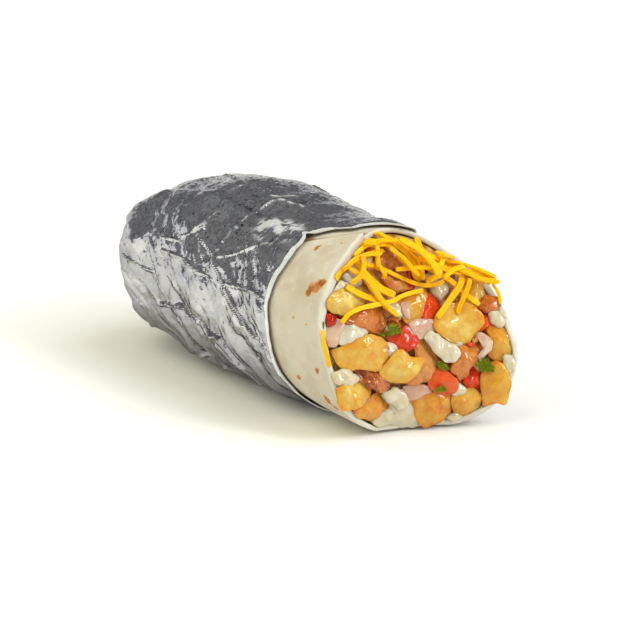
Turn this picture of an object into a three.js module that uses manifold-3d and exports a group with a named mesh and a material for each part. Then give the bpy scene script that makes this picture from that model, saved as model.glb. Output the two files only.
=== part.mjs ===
// Burrito: a cream tortilla rolled round a packed filling, its back half wrapped in crinkled foil.
// Millimetres, +Z up. The roll lies along X on the floor, z = 0, with its open mouth towards +X.
import * as THREE from 'three';
import { mergeVertices } from 'three/addons/utils/BufferGeometryUtils.js';
import { ConvexGeometry } from 'three/addons/geometries/ConvexGeometry.js';
import Module from 'manifold-3d';

// Driving dimensions of the roll.
const WIDTH = 76;
const HEIGHT = 71;
const BACK_X = -83.5;
const CAP_LENGTH = 27;
const CAP_POWER = 2.6;
const CAP_DROP = 0.1;
const SECTION_POWER = 2.25;
const FLAT_DEPTH = 1.5;

// The roll tapers over its last stretch, is squeezed by the foil and narrows a little at the mouth.
const BACK_STRETCH = 58;
const BACK_RISE = 6;
const BACK_DROOP = 0.22;
const BACK_NARROW = 0.05;
const SQUEEZE = { share: 0.04, fromX: 50, fullX: 8 };
const MOUTH_NARROW = { share: 0.04, fromX: 40, fullX: 97 };
const SWELLS = [{ height: 0.5, length: 13, turns: 2 }, { height: 0.4, length: 8, turns: -3 }];

// Sheet thicknesses and the clear gap between neighbours.
const TORTILLA = 2.0;
const FOIL = 0.7;
const GAP = 0.5;
const FOIL_CLEARANCE = 0.55;
const UNDER_FOIL = 0.8;
const UNDER_FROM = 14;
const UNDER_TO = 5;
const FLOOR_LIFT = FOIL + FOIL_CLEARANCE;
const RIM_BEVEL = 0.45;

// The mouth leans back at the top. Its station along X is a sum of a few waves round the roll.
const MOUTH_MIDDLE = 66.8;
const MOUTH_WAVES = [[7.4, -14.4], [7.4, -5.5], [2.4, -1.2], [-0.5, 1.1]];
const MOUTH_BULGE = 3.0;

// Station of the foil's front edge round the roll, in the same form.
const EDGE_MIDDLE = 39.2;
const EDGE_WAVES = [[4.1, -1.1], [-1.9, 3.6], [-0.8, -0.2], [-0.1, -2.2]];
const FAR_SETBACK = 12;
const FAR_FROM = 0.35;
const FAR_TO = 0.8;

// The tortilla's outer flap ends in a step that runs back from the mouth along the top.
const SEAM_ANGLE = 101;
const SEAM_TURN = 1.15;
const SEAM_MOUTH_X = 48.5;
const SEAM_LAST = 122;
const FLAP_STEP = 1.7;
const FLAP_FADE_FROM = 150;
const FLAP_FADE_TO = 205;
const SEAM_HALF = 0.7;

// Foil relief: folds gathered at the back, creases on the sides and a hem at the front edge.
const GATHER_FOLDS = 12;
const GATHER_HEIGHT = 2.2;
const GATHER_TWIST = 0.8;
const CREASES = 64;
const CREASE_HEIGHT = 2.2;
const BUMPS = 0.8;
const EDGE_CALM = 9;
const HEM_WIDTH = 3.4;
const HEM_HEIGHT = 0.9;
const FLARE = 1.2;
const COLUMN_JITTER = 1.6;
const SEAM_LEAD = 9;

// Grids: columns round the roll, rows over the back cap and rows along the roll.
const COLUMNS = 48;
const CAP_ROWS = 5;
const FOIL_ROWS = 14;
const TORTILLA_ROWS = 8;
const FACE_RINGS = 5;
const SEAM_COLUMN = 14;

// The filling's core lies this far behind the mouth. The room ahead lets pieces stand out of it.
const CORE_DEPTH = 2.6;
const AHEAD_X = 115;
const BEHIND_X = -125;

const RADIANS = Math.PI / 180;
const GOLDEN_ANGLE = 137.508 * RADIANS;
const MERGE = 1e-3;
const SKIN_PASSES = 3;

const wasm = await Module();
wasm.setup();

// One seeded draw serves every random size.
let seed = 20741;
function draw(low, high) {
  seed = (seed * 1664525 + 1013904223) % 4294967296;
  return low + (high - low) * seed / 4294967296;
}

function smooth(value, low, high) {
  const t = Math.min(Math.max((value - low) / (high - low), 0), 1);
  return t * t * (3 - 2 * t);
}

function waves(middle, list, across, up) {
  // Each wave is the real and imaginary part of a power, so it also fills the disc smoothly.
  let real = 1;
  let imaginary = 0;
  let sum = middle;
  for (const [cosine, sine] of list) {
    const next = real * across - imaginary * up;
    imaginary = real * up + imaginary * across;
    real = next;
    sum += cosine * real + sine * imaginary;
  }
  return sum;
}

function onRim(middle, list, angle) {
  return waves(middle, list, Math.cos(angle * RADIANS), Math.sin(angle * RADIANS));
}

function edgeX(angle) {
  const setback = FAR_SETBACK * smooth(Math.cos(angle * RADIANS), FAR_FROM, FAR_TO);
  return onRim(EDGE_MIDDLE, EDGE_WAVES, angle) - setback;
}

function mouthX(y, z) {
  const across = 2 * y / WIDTH;
  const up = (2 * z - HEIGHT) / HEIGHT;
  const bulge = MOUTH_BULGE * (1 - Math.min(across * across + up * up, 1));
  return waves(MOUTH_MIDDLE, MOUTH_WAVES, across, up) + bulge;
}

// The angle runs from 0 on the far side, +Y, over the top at 90 to the near side at 180.
function seamAngle(x) {
  return Math.min(SEAM_ANGLE + SEAM_TURN * Math.max(SEAM_MOUTH_X - x, 0), SEAM_LAST);
}

function flapGrow(x, angle, lead) {
  const past = angle - (seamAngle(x) - lead);
  return past < 0 ? 0 : FLAP_STEP * (1 - smooth(angle, FLAP_FADE_FROM, FLAP_FADE_TO));
}

// A point on the roll's surface, grown outwards. Rows below 1 lie on the back cap.
function bodyPoint(row, angle, frontX, grow, lowest = FLOOR_LIFT - grow) {
  const straightX = BACK_X + CAP_LENGTH;
  const turn = Math.min(row, 1) * 90 * RADIANS;
  const back = Math.pow(Math.max(Math.cos(turn), 0), 2 / CAP_POWER);
  const ring = Math.pow(Math.sin(turn), 2 / CAP_POWER);
  const capX = straightX - (CAP_LENGTH + grow) * back;
  const x = row < 1 ? capX : straightX + (frontX - straightX) * (row - 1);
  const tail = 1 - smooth(x - BACK_X, 0, BACK_STRETCH);
  const squeezed = SQUEEZE.share * (1 - smooth(x, SQUEEZE.fullX, SQUEEZE.fromX));
  const drawnIn = MOUTH_NARROW.share * smooth(x, MOUTH_NARROW.fromX, MOUTH_NARROW.fullX);
  const droop = 1 - BACK_DROOP * tail - squeezed / 2;
  const narrow = 1 - BACK_NARROW * tail - drawnIn - squeezed;
  let swell = grow;
  for (const { height, length, turns } of SWELLS) {
    swell += height * Math.sin(x / length + angle * RADIANS * turns);
  }
  const halfWidth = WIDTH / 2 * narrow;
  const halfHeight = HEIGHT / 2 * droop;
  const cosine = Math.cos(angle * RADIANS);
  const sine = Math.sin(angle * RADIANS);
  const power = Math.abs(cosine) ** SECTION_POWER + Math.abs(sine) ** SECTION_POWER;
  const corner = power ** (-1 / SECTION_POWER);
  const middleZ = FLOOR_LIFT - FLAT_DEPTH + halfHeight + BACK_RISE * tail;
  const capZ = middleZ - CAP_DROP * halfHeight;
  const y = (halfWidth + swell) * corner * cosine * ring;
  const z = middleZ + (halfHeight + swell) * corner * sine;
  return new THREE.Vector3(x, y, Math.max(capZ + (z - capZ) * ring, lowest));
}

// Columns are bunched so that two of them always lie on either side of the flap's step.
function seamColumnAngle(column, x) {
  const before = seamAngle(x) - SEAM_HALF;
  const after = seamAngle(x) + SEAM_HALF;
  if (column < SEAM_COLUMN) {
    return before * column / (SEAM_COLUMN - 1);
  }
  return after + (360 - after) * (column - SEAM_COLUMN) / (COLUMNS - SEAM_COLUMN);
}

function solidOf(geometry) {
  const bare = geometry.clone();
  bare.deleteAttribute('normal');
  bare.deleteAttribute('uv');
  const merged = mergeVertices(bare, MERGE);
  return new wasm.Manifold(new wasm.Mesh({
    numProp: 3,
    vertProperties: new Float32Array(merged.attributes.position.array),
    triVerts: new Uint32Array(merged.index.array),
  }));
}

function geometryOf(solid) {
  const mesh = solid.getMesh();
  const geometry = new THREE.BufferGeometry();
  geometry.setAttribute('position', new THREE.BufferAttribute(new Float32Array(mesh.vertProperties), 3));
  geometry.setIndex([...mesh.triVerts]);
  return geometry;
}

// Keeps the largest connected skin, so that sealed hollows are filled and loose scraps dropped.
function outerSkin(geometry) {
  const index = geometry.index.array;
  const parent = Array.from({ length: geometry.attributes.position.count }, (_, number) => number);
  const root = (number) => {
    let top = number;
    while (parent[top] !== top) {
      parent[top] = parent[parent[top]];
      top = parent[top];
    }
    return top;
  };
  for (let corner = 0; corner < index.length; corner += 3) {
    parent[root(index[corner])] = root(index[corner + 1]);
    parent[root(index[corner + 1])] = root(index[corner + 2]);
  }
  const counts = new Map();
  for (const number of index) {
    counts.set(root(number), (counts.get(root(number)) ?? 0) + 1);
  }
  const largest = [...counts.entries()].sort((one, other) => other[1] - one[1])[0][0];
  const kept = [];
  for (let corner = 0; corner < index.length; corner += 3) {
    if (root(index[corner]) === largest) {
      kept.push(index[corner], index[corner + 1], index[corner + 2]);
    }
  }
  geometry.setIndex(kept);
  return geometry;
}

// Rings of points, from a pole at one end to a pole at the other, joined into a closed skin.
function skin(firstPole, rings, lastPole) {
  const points = [firstPole, ...rings.flat(), lastPole];
  const count = rings[0].length;
  const index = [];
  const at = (ring, column) => 1 + ring * count + (column % count);
  for (let column = 0; column < count; column += 1) {
    index.push(0, at(0, column + 1), at(0, column));
    for (let ring = 0; ring + 1 < rings.length; ring += 1) {
      index.push(at(ring, column), at(ring, column + 1), at(ring + 1, column));
      index.push(at(ring, column + 1), at(ring + 1, column + 1), at(ring + 1, column));
    }
    index.push(points.length - 1, at(rings.length - 1, column), at(rings.length - 1, column + 1));
  }
  const geometry = new THREE.BufferGeometry();
  geometry.setFromPoints(points);
  geometry.setIndex(index);
  return geometry;
}

// Tortilla: out over the back cap and along the roll to the rim, then back down inside.
function tortillaPoint(row, column, grow, flap) {
  const guess = bodyPoint(row, 360 * column / COLUMNS, MOUTH_MIDDLE, 0).x;
  let angle = seamColumnAngle(column, guess);
  let front = onRim(MOUTH_MIDDLE, MOUTH_WAVES, angle);
  for (let pass = 0; pass < 3; pass += 1) {
    const x = bodyPoint(row, angle, front, 0).x;
    angle = seamColumnAngle(column, x);
    front = onRim(MOUTH_MIDDLE, MOUTH_WAVES, angle);
  }
  const x = bodyPoint(row, angle, front, 0).x;
  const step = flap && row > 0.5 && column >= SEAM_COLUMN ? flapGrow(x, angle, 0) : 0;
  const under = UNDER_FOIL * (1 - smooth(x, edgeX(angle) - UNDER_FROM, edgeX(angle) - UNDER_TO));
  return bodyPoint(row, angle, front, grow + step - under);
}

function rowStations(rows) {
  const list = [];
  for (let row = 1; row <= CAP_ROWS; row += 1) {
    list.push(row / CAP_ROWS);
  }
  for (let row = 1; row <= rows; row += 1) {
    list.push(1 + row / rows);
  }
  return list;
}

function ringOf(place) {
  return Array.from({ length: COLUMNS }, (_, column) => place(column));
}

function makeTortilla() {
  const stations = rowStations(TORTILLA_ROWS);
  const outside = stations.map((row) => ringOf((column) => tortillaPoint(row, column, 0, true)));
  const inside = stations.map((row) => ringOf((column) => tortillaPoint(row, column, -TORTILLA, false)));
  const ahead = new THREE.Vector3(RIM_BEVEL, 0, 0);
  const edge = ringOf((column) => tortillaPoint(2, column, -RIM_BEVEL, true).add(ahead));
  const innerEdge = ringOf((column) => tortillaPoint(2, column, RIM_BEVEL - TORTILLA, false).add(ahead));
  const pole = bodyPoint(0, 0, 0, 0);
  const innerPole = bodyPoint(0, 0, 0, -TORTILLA);
  return skin(pole, [...outside, edge, innerEdge, ...inside.reverse()], innerPole);
}

// Foil: creases are straight folds on the unrolled sheet, each a ridge with a sharp top.
const creases = [];
for (let number = 0; number < CREASES; number += 1) {
  const around = draw(0, 360);
  const nearSide = around > 125 && around < 250;
  creases.push({
    around,
    x: draw(BACK_X, 58),
    lean: (nearSide ? draw(8, 50) : draw(60, 115)) * RADIANS,
    half: draw(12, 38),
    width: draw(4, 9),
    height: CREASE_HEIGHT * draw(0.35, 1),
  });
}

function creaseHeight(x, angle) {
  let height = 0;
  for (const crease of creases) {
    const turn = ((angle - crease.around + 540) % 360 - 180) * RADIANS * HEIGHT / 2;
    const run = x - crease.x;
    const along = Math.abs(run * Math.cos(crease.lean) + turn * Math.sin(crease.lean));
    const off = Math.abs(turn * Math.cos(crease.lean) - run * Math.sin(crease.lean));
    if (along < crease.half && off < crease.width) {
      const ridge = crease.height * (1 - off / crease.width) * (1 - along / crease.half);
      height = Math.max(height, ridge);
    }
  }
  return height;
}

function gatherHeight(row, angle) {
  const turn = angle * GATHER_FOLDS / 360 + row * GATHER_TWIST + 1;
  const fold = Math.abs(turn % 1 - 0.5) * 2;
  return GATHER_HEIGHT * fold * smooth(row, 0.15, 0.6) * (1 - smooth(row, 0.9, 1.25));
}

function makeFoil() {
  const hemRow = 2 - HEM_WIDTH / (EDGE_MIDDLE - BACK_X - CAP_LENGTH);
  const stations = [...rowStations(FOIL_ROWS).slice(0, -1), hemRow - 0.004, hemRow + 0.004, 2];
  const relief = stations.map((row, number) => ringOf((column) => {
    const shifted = column + (number % 2) * 0.5 * (row < hemRow - 0.01);
    const angle = 360 * shifted / COLUMNS + draw(-COLUMN_JITTER, COLUMN_JITTER) * (row < hemRow - 0.01);
    const front = edgeX(angle);
    const x = bodyPoint(row, angle, front, 0).x;
    const floor = smooth(Math.sin(-angle * RADIANS), 0.75, 0.95);
    const near = smooth(x, front - EDGE_CALM, front);
    const bumps = (creaseHeight(x, angle) + draw(0, BUMPS)) * (1 - near) + gatherHeight(row, angle);
    const flare = FLARE * near * smooth(Math.sin(angle * RADIANS), 0.8, 0.97);
    const hem = row > hemRow ? HEM_HEIGHT : 0;
    const grow = FOIL_CLEARANCE + flapGrow(x, angle, SEAM_LEAD) + (bumps + flare) * (1 - floor);
    return { row, angle, front, grow, hem: hem * (1 - floor) };
  }));
  const face = (extra, hemmed) => relief.map((ring) => ring.map((spot) => {
    const grow = spot.grow + extra + (hemmed ? spot.hem : 0);
    return bodyPoint(spot.row, spot.angle, spot.front, grow, FOIL - extra);
  }));
  const pole = bodyPoint(0, 0, 0, FOIL_CLEARANCE + FOIL);
  const innerPole = bodyPoint(0, 0, 0, FOIL_CLEARANCE);
  return skin(pole, [...face(FOIL, true), ...face(0, false).reverse()], innerPole);
}

// The room inside the tortilla, run on past the rim so that pieces can stand out of the mouth.
function makeRoom() {
  const grow = -TORTILLA - GAP;
  const ring = (row) => ringOf((column) => tortillaPoint(row, column, grow, false));
  const ahead = ring(2).map((point) => point.setX(AHEAD_X));
  const rings = [...rowStations(TORTILLA_ROWS).map(ring), ahead];
  return skin(bodyPoint(0, 0, 0, grow), rings, new THREE.Vector3(AHEAD_X, 0, HEIGHT / 2));
}

// Everything behind a surface that follows the mouth at the core's depth.
function makeBehindMouth() {
  const rings = [ringOf((column) => {
    const angle = 360 * column / COLUMNS * RADIANS;
    return new THREE.Vector3(BEHIND_X, WIDTH * 0.6 * Math.cos(angle), HEIGHT * (0.5 + 0.6 * Math.sin(angle)));
  })];
  for (let ring = FACE_RINGS; ring > 0; ring -= 1) {
    rings.push(rings[0].map((point) => {
      const y = point.y * ring / FACE_RINGS;
      const z = HEIGHT / 2 + (point.z - HEIGHT / 2) * ring / FACE_RINGS;
      return new THREE.Vector3(mouthX(y, z) - CORE_DEPTH, y, z);
    }));
  }
  const middle = new THREE.Vector3(mouthX(0, HEIGHT / 2) - CORE_DEPTH, 0, HEIGHT / 2);
  return skin(new THREE.Vector3(BEHIND_X, 0, HEIGHT / 2), rings, middle);
}

// A frame on the mouth: first axis along the piece, second across it, third out of the mouth.
function mouthFrame(y, z, lift, turn, tilt = 0) {
  const step = 0.5;
  const acrossY = new THREE.Vector3(mouthX(y + step, z) - mouthX(y - step, z), 2 * step, 0).normalize();
  const upZ = new THREE.Vector3(mouthX(y, z + step) - mouthX(y, z - step), 0, 2 * step).normalize();
  const out = new THREE.Vector3().crossVectors(acrossY, upZ).normalize();
  const across = new THREE.Vector3().crossVectors(upZ, out).normalize();
  const place = new THREE.Matrix4().makeBasis(across, upZ, out);
  place.multiply(new THREE.Matrix4().makeRotationZ(turn * RADIANS));
  place.multiply(new THREE.Matrix4().makeRotationY(tilt * RADIANS));
  const middle = new THREE.Vector3(mouthX(y, z), y, z).addScaledVector(out, lift);
  return place.setPosition(middle);
}

// A cut block with bevelled edges, such as a fry or a tomato dice.
function block(length, width, depth, uneven) {
  const points = [];
  const bevel = 0.14 * Math.min(length, width, depth);
  for (const x of [-1, 1]) {
    for (const y of [-1, 1]) {
      for (const z of [-1, 1]) {
        const corner = [x * length / 2, y * width / 2, z * depth / 2].map((v) => v * draw(1 - uneven, 1));
        for (const axis of [0, 1, 2]) {
          const point = corner.map((v, i) => (i === axis ? v : v - Math.sign(v) * bevel));
          points.push(new THREE.Vector3(...point));
        }
      }
    }
  }
  return new ConvexGeometry(points);
}

// A torn lump, such as a piece of chicken or a blob of sauce.
function lump(length, width, depth, uneven, count = 14) {
  const points = [];
  for (let number = 0; number < count; number += 1) {
    const up = 1 - 2 * (number + 0.5) / count;
    const around = number * GOLDEN_ANGLE;
    const flat = Math.sqrt(1 - up * up);
    const size = draw(1 - uneven, 1);
    points.push(new THREE.Vector3(
      length / 2 * flat * Math.cos(around) * size,
      width / 2 * flat * Math.sin(around) * size,
      depth / 2 * up * size,
    ));
  }
  return new ConvexGeometry(points);
}

// Pieces that show at the mouth: y, z, length, width, depth, turn in degrees and lift.
const FRIES = [
  [-28, 53, 15, 9, 8, 38, 0.6], [-22, 34, 24, 14, 9, -28, 1.2], [-5, 26, 19, 9, 8, 55, 0.8],
  [-27, 18, 16, 10, 8, 20, 0.4], [-19, 10, 19, 9, 8, -8, 0.8], [4, 46, 14, 10, 8, 70, 0.6],
  [20, 39, 20, 14, 8, -12, 1.2], [29, 48, 12, 9, 7, 60, 0.6], [30, 32, 15, 11, 8, -40, 0.8],
  [28, 16, 18, 11, 8, 75, 0.8], [5, 7, 19, 11, 8, 12, 0.4], [18, 8, 13, 10, 8, -30, 0.4],
];
const CHICKEN = [
  [1, 62, 13, 11, 9, 20, 0.8], [0, 54, 15, 8, 8, -15, 1.2], [-18, 45, 18, 11, 9, 25, 1.2],
  [2, 28, 17, 11, 9, 80, 1.4], [19, 25, 18, 14, 10, -25, 1.6], [-19, 23, 15, 9, 8, 15, 0.2],
  [31, 42, 8, 7, 7, 40, 0.4], [-4, 46, 10, 8, 8, 70, 0.8], [22, 55, 8, 6, 6, 0, 0.4],
  [24, 34, 8, 6, 6, 80, 0.6], [-12, 58, 13, 9, 8, -30, 0.2], [10, 66, 9, 7, 6, 30, 0.2],
];
const TOMATO = [
  [-30, 47, 8, 6, 6, 10, -0.6], [11, 46, 11, 10, 8, 25, 0.8], [-5, 37, 13, 9, 7, -10, 1.0],
  [9, 18, 13, 11, 8, 15, 0.8], [21, 18, 10, 9, 7, -20, 0.6], [29, 39, 7, 6, 6, 30, 0.2],
  [6, 55, 7, 6, 6, 45, 0.2], [14, 57, 6, 5, 5, 10, -0.4],
];
const SAUCE = [
  [-25, 40, 12, 9, 5, -30, 0.8], [-21, 60, 10, 6, 5, 30, -0.4], [9, 31, 17, 6, 4, -38, 2.2],
  [12, 28, 6, 5, 5, 0, 3.0], [17, 50, 7, 6, 5, 80, 0.2], [-31, 27, 10, 6, 5, -50, 0.4],
  [-9, 12, 19, 15, 6, -20, 1.0], [15, 4, 9, 5, 5, 0, 0.4], [32, 23, 11, 6, 5, 85, 0.6],
  [32, 42, 8, 6, 5, 60, 0.4],
];
const ONION = [
  [-31, 42, 9, 6, 20, 0.8], [4, 38, 12, 6, 10, 1.2], [27, 30, 11, 8, 50, 1.4],
  [-1, 15, 10, 6, -20, 1.4], [-10, 33, 8, 5, 70, 1.0],
];
const LEAVES = [
  [-7, 39, 7, 4, 20, 2.0], [25, 22, 9, 6, -35, 2.6], [8, 15, 7, 4, 10, 2.2], [10, 24, 5, 3, 40, 2.4],
];

// Torn pieces are drawn a little large, as their unevenness takes some of their size away.
const TORN_EXTRA = 1.08;

// Cheese shreds: the width of a strip, then the points in y, z that it passes through.
const SHREDS = [
  [2.2, [-27, 62], [-16, 65], [0, 66]], [2.6, [2, 70], [10, 64], [11, 57], [11, 52]],
  [2.2, [-15, 66], [-14, 61], [-12, 52], [-4, 43]], [3.0, [-15, 63], [-9, 55], [-2, 51]],
  [2.2, [-13, 63], [0, 57], [10, 53], [23, 53]], [2.0, [-3, 67], [3, 63], [8, 58]],
  [3.2, [-23, 58], [-17, 55], [-12, 51]], [2.2, [-29, 46], [-24, 49], [-12, 50], [1, 51], [10, 52]],
  [2.2, [18, 65], [17, 59], [23, 56], [31, 53], [35, 50]], [2.4, [14, 59], [21, 53], [29, 44]],
  [2.4, [27, 55], [19, 47], [11, 41]], [2.0, [29, 53], [23, 47], [19, 42]], [2.0, [18, 59], [27, 60]],
  [1.8, [34, 50], [35, 44]], [2.0, [-14, 68], [-2, 68]], [2.0, [-5, 67], [-7, 59]], [2.2, [13, 64], [11, 54]],
  [2.2, [-33, 44], [-34, 30]],
];
const SHRED_DEPTH = 1.9;
const SHRED_LIFT = 3.2;
const SHRED_STEP = 7;

function middleOf(ring) {
  return ring.reduce((sum, point) => sum.add(point), new THREE.Vector3()).divideScalar(ring.length);
}

// A strip with a rectangular section along a curve laid over the mouth.
function shred(width, stops, lift) {
  const path = new THREE.CatmullRomCurve3(stops.map(([y, z]) => new THREE.Vector3(0, y, z)));
  const steps = Math.max(2, Math.round(path.getLength() / SHRED_STEP));
  const rings = [];
  for (let step = 0; step <= steps; step += 1) {
    const at = path.getPoint(step / steps);
    const along = path.getTangent(step / steps);
    const turn = Math.atan2(along.z, along.y) / RADIANS;
    const ends = Math.abs(2 * step / steps - 1) ** 3;
    const frame = mouthFrame(at.y, at.z, lift * (1 - 0.75 * ends), turn, 0);
    const half = width / 2;
    const deep = SHRED_DEPTH / 2;
    const corners = [[-half, -deep], [half, -deep], [half * 0.9, deep], [-half * 0.9, deep]];
    rings.push(corners.map(([side, up]) => new THREE.Vector3(0, side, up).applyMatrix4(frame)));
  }
  return skin(middleOf(rings[0]), rings, middleOf(rings[steps]));
}

// A thin plate bent over its length, such as an onion sliver or a leaf.
function plate(length, width, depth, bend) {
  const rings = [];
  const steps = 4;
  for (let step = 0; step <= steps; step += 1) {
    const along = 2 * step / steps - 1;
    const half = width / 2 * Math.sqrt(1.15 - along * along);
    const height = bend * (1 - along * along);
    const x = along * length / 2;
    rings.push([[-half, 0], [half, 0], [half, depth], [-half, depth]]
      .map(([y, z]) => new THREE.Vector3(x, y, height + z)));
  }
  return skin(middleOf(rings[0]), rings, middleOf(rings[steps]));
}

function placed(geometry, y, z, lift, turn, tilt) {
  return solidOf(geometry.applyMatrix4(mouthFrame(y, z, lift, turn, tilt)));
}

function makeFilling() {
  const room = solidOf(makeRoom());
  const pieces = [room.intersect(solidOf(makeBehindMouth()))];
  for (const [y, z, length, width, depth, turn, lift] of FRIES) {
    pieces.push(placed(block(length, width, depth, 0.12), y, z, lift - depth / 3, turn, draw(-8, 8)));
  }
  for (const [y, z, length, width, depth, turn, lift] of CHICKEN) {
    const torn = lump(length * TORN_EXTRA, width * TORN_EXTRA, depth, 0.2);
    pieces.push(placed(torn, y, z, lift - depth / 3, turn, draw(-8, 8)));
  }
  for (const [y, z, length, width, depth, turn, lift] of TOMATO) {
    pieces.push(placed(block(length, width, depth, 0.1), y, z, lift - depth / 3, turn, draw(-10, 10)));
  }
  for (const [y, z, length, width, depth, turn, lift] of SAUCE) {
    pieces.push(placed(lump(length, width, depth, 0.06), y, z, lift, turn, 0));
  }
  for (const [y, z, length, width, turn, lift] of ONION) {
    pieces.push(placed(plate(length, width, 1.4, 1), y, z, lift, turn, 0));
  }
  for (const [y, z, length, width, turn, lift] of LEAVES) {
    pieces.push(placed(plate(length, width, 0.8, 1), y, z, lift, turn, 0));
  }
  for (const [width, ...stops] of SHREDS) {
    pieces.push(solidOf(shred(width, stops, SHRED_LIFT * draw(0.75, 1.15))));
  }
  let geometry = geometryOf(wasm.Manifold.union(pieces).intersect(room));
  for (let pass = 0; pass < SKIN_PASSES; pass += 1) {
    geometry = outerSkin(geometryOf(solidOf(geometry)));
  }
  return geometry;
}

// The finished part. Its box is centred on the origin by the middles measured once it was built.
const BOX_MIDDLE_X = 1.671;
const BOX_MIDDLE_Y = -0.804;
const group = new THREE.Group();
group.name = 'burrito';

function addPart(name, geometry, colour, roughness, metalness) {
  geometry.translate(-BOX_MIDDLE_X, -BOX_MIDDLE_Y, 0);
  const material = new THREE.MeshStandardMaterial({ color: colour, roughness, metalness });
  const mesh = new THREE.Mesh(geometry, material);
  mesh.name = name;
  group.add(mesh);
}

addPart('foil', makeFoil(), 0xb9bcc4, 0.3, 1);
addPart('tortilla', makeTortilla(), 0xdcd2b8, 0.75, 0);
addPart('filling', makeFilling(), 0xc98f3c, 0.5, 0);

export default group;
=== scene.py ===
"""Looks of a burrito: crinkled foil, a toasted flour tortilla and a heaped filling at the open mouth.

Sizes are in millimetres in the roll's own frame and become metres when a mesh is made.
Angles run round the roll in degrees: 0 is the far side, 90 the top, 180 the near side.
"""

import math

import bpy
import numpy as np
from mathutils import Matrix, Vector


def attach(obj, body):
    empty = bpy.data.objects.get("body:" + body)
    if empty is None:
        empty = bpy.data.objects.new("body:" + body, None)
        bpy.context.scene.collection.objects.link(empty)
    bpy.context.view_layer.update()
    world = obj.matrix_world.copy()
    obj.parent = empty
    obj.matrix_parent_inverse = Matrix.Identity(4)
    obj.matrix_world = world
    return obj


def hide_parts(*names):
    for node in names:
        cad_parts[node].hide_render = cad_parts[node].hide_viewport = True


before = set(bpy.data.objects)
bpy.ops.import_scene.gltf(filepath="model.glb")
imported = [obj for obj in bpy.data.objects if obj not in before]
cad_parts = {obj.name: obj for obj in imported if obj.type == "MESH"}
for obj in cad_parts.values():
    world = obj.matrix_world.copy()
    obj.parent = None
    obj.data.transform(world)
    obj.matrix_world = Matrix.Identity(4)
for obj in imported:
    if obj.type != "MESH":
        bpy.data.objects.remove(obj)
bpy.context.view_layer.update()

# The roll, as the CAD source has it.
WIDTH, HEIGHT, BACK_X = 76.0, 71.0, -83.5
CAP_LENGTH, CAP_POWER, CAP_DROP = 27.0, 2.6, 0.1
SECTION_POWER, FLAT_DEPTH = 2.25, 1.5
BACK_STRETCH, BACK_RISE, BACK_DROOP, BACK_NARROW = 58.0, 6.0, 0.22, 0.05
SQUEEZE_SHARE, SQUEEZE_FROM, SQUEEZE_FULL = 0.04, 50.0, 8.0
DRAWN_SHARE, DRAWN_FROM, DRAWN_FULL = 0.04, 40.0, 97.0
SWELLS = ((0.5, 13.0, 2), (0.4, 8.0, -3))
TORTILLA, FOIL, GAP, FOIL_CLEARANCE, UNDER_FOIL = 2.0, 0.7, 0.5, 0.55, 0.8
UNDER_FROM, UNDER_TO = 14.0, 5.0
FLOOR_LIFT = FOIL + FOIL_CLEARANCE
MOUTH_MIDDLE, MOUTH_BULGE = 66.8, 3.0
MOUTH_WAVES = ((7.4, -14.4), (7.4, -5.5), (2.4, -1.2), (-0.5, 1.1))
EDGE_MIDDLE = 39.2
EDGE_WAVES = ((4.1, -1.1), (-1.9, 3.6), (-0.8, -0.2), (-0.1, -2.2))
FAR_SETBACK, FAR_FROM, FAR_TO = 12.0, 0.35, 0.8
# The foil's ragged edge as seen: how far it departs from the smooth edge, by angle.
EDGE_TEARS = (
    (85, 0.0), (92, 0.8), (97, 2.2), (100.5, 0.4), (104, -1.6), (111, -2.4), (114.5, -3.4), (116.5, -4.1),
    (118, -3.2), (120.5, -0.4), (125, 1.2), (133, 2.2), (142, 1.9), (147, 0.5), (155.5, -0.4), (161, -1.2),
    (168, -0.5), (176, 0.4), (190, 0.3), (205, -0.2), (216, 0.2), (225, 0.0))
SEAM_ANGLE, SEAM_TURN, SEAM_MOUTH_X, SEAM_LAST, SEAM_LEAD = 101.0, 1.15, 48.5, 122.0, 9.0
FLAP_STEP, FLAP_FADE_FROM, FLAP_FADE_TO = 1.7, 150.0, 205.0
BOX_MIDDLE = np.array([1.671, -0.804, 0.0])
MM = 0.001


def smooth(value, low, high):
    t = np.clip((value - low) / (high - low), 0, 1)
    return t * t * (3 - 2 * t)


def waves(middle, terms, across, up):
    """A middle value plus the real and imaginary parts of rising powers of a point in the section."""
    spot = np.asarray(across, float) + 1j * np.asarray(up, float)
    power = np.ones_like(spot)
    total = np.full(spot.shape, middle, float)
    for cosine, sine in terms:
        power = power * spot
        total += cosine * power.real + sine * power.imag
    return total


def on_rim(middle, terms, angle):
    turn = np.radians(angle)
    return waves(middle, terms, np.cos(turn), np.sin(turn))


def edge_x(angle):
    setback = FAR_SETBACK * smooth(np.cos(np.radians(angle)), FAR_FROM, FAR_TO)
    return on_rim(EDGE_MIDDLE, EDGE_WAVES, angle) - setback


def torn_edge_x(angle):
    at, depart = np.array(EDGE_TEARS).T
    return edge_x(angle) + np.interp(angle % 360, at, depart, 0, 0)


def mouth_x(y, z):
    across, up = 2 * y / WIDTH, (2 * z - HEIGHT) / HEIGHT
    bulge = MOUTH_BULGE * (1 - np.minimum(across ** 2 + up ** 2, 1))
    return waves(MOUTH_MIDDLE, MOUTH_WAVES, across, up) + bulge


def seam_angle(x):
    return np.minimum(SEAM_ANGLE + SEAM_TURN * np.maximum(SEAM_MOUTH_X - x, 0), SEAM_LAST)


def flap_share(angle):
    return 1 - smooth(angle, FLAP_FADE_FROM, FLAP_FADE_TO)


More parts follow.
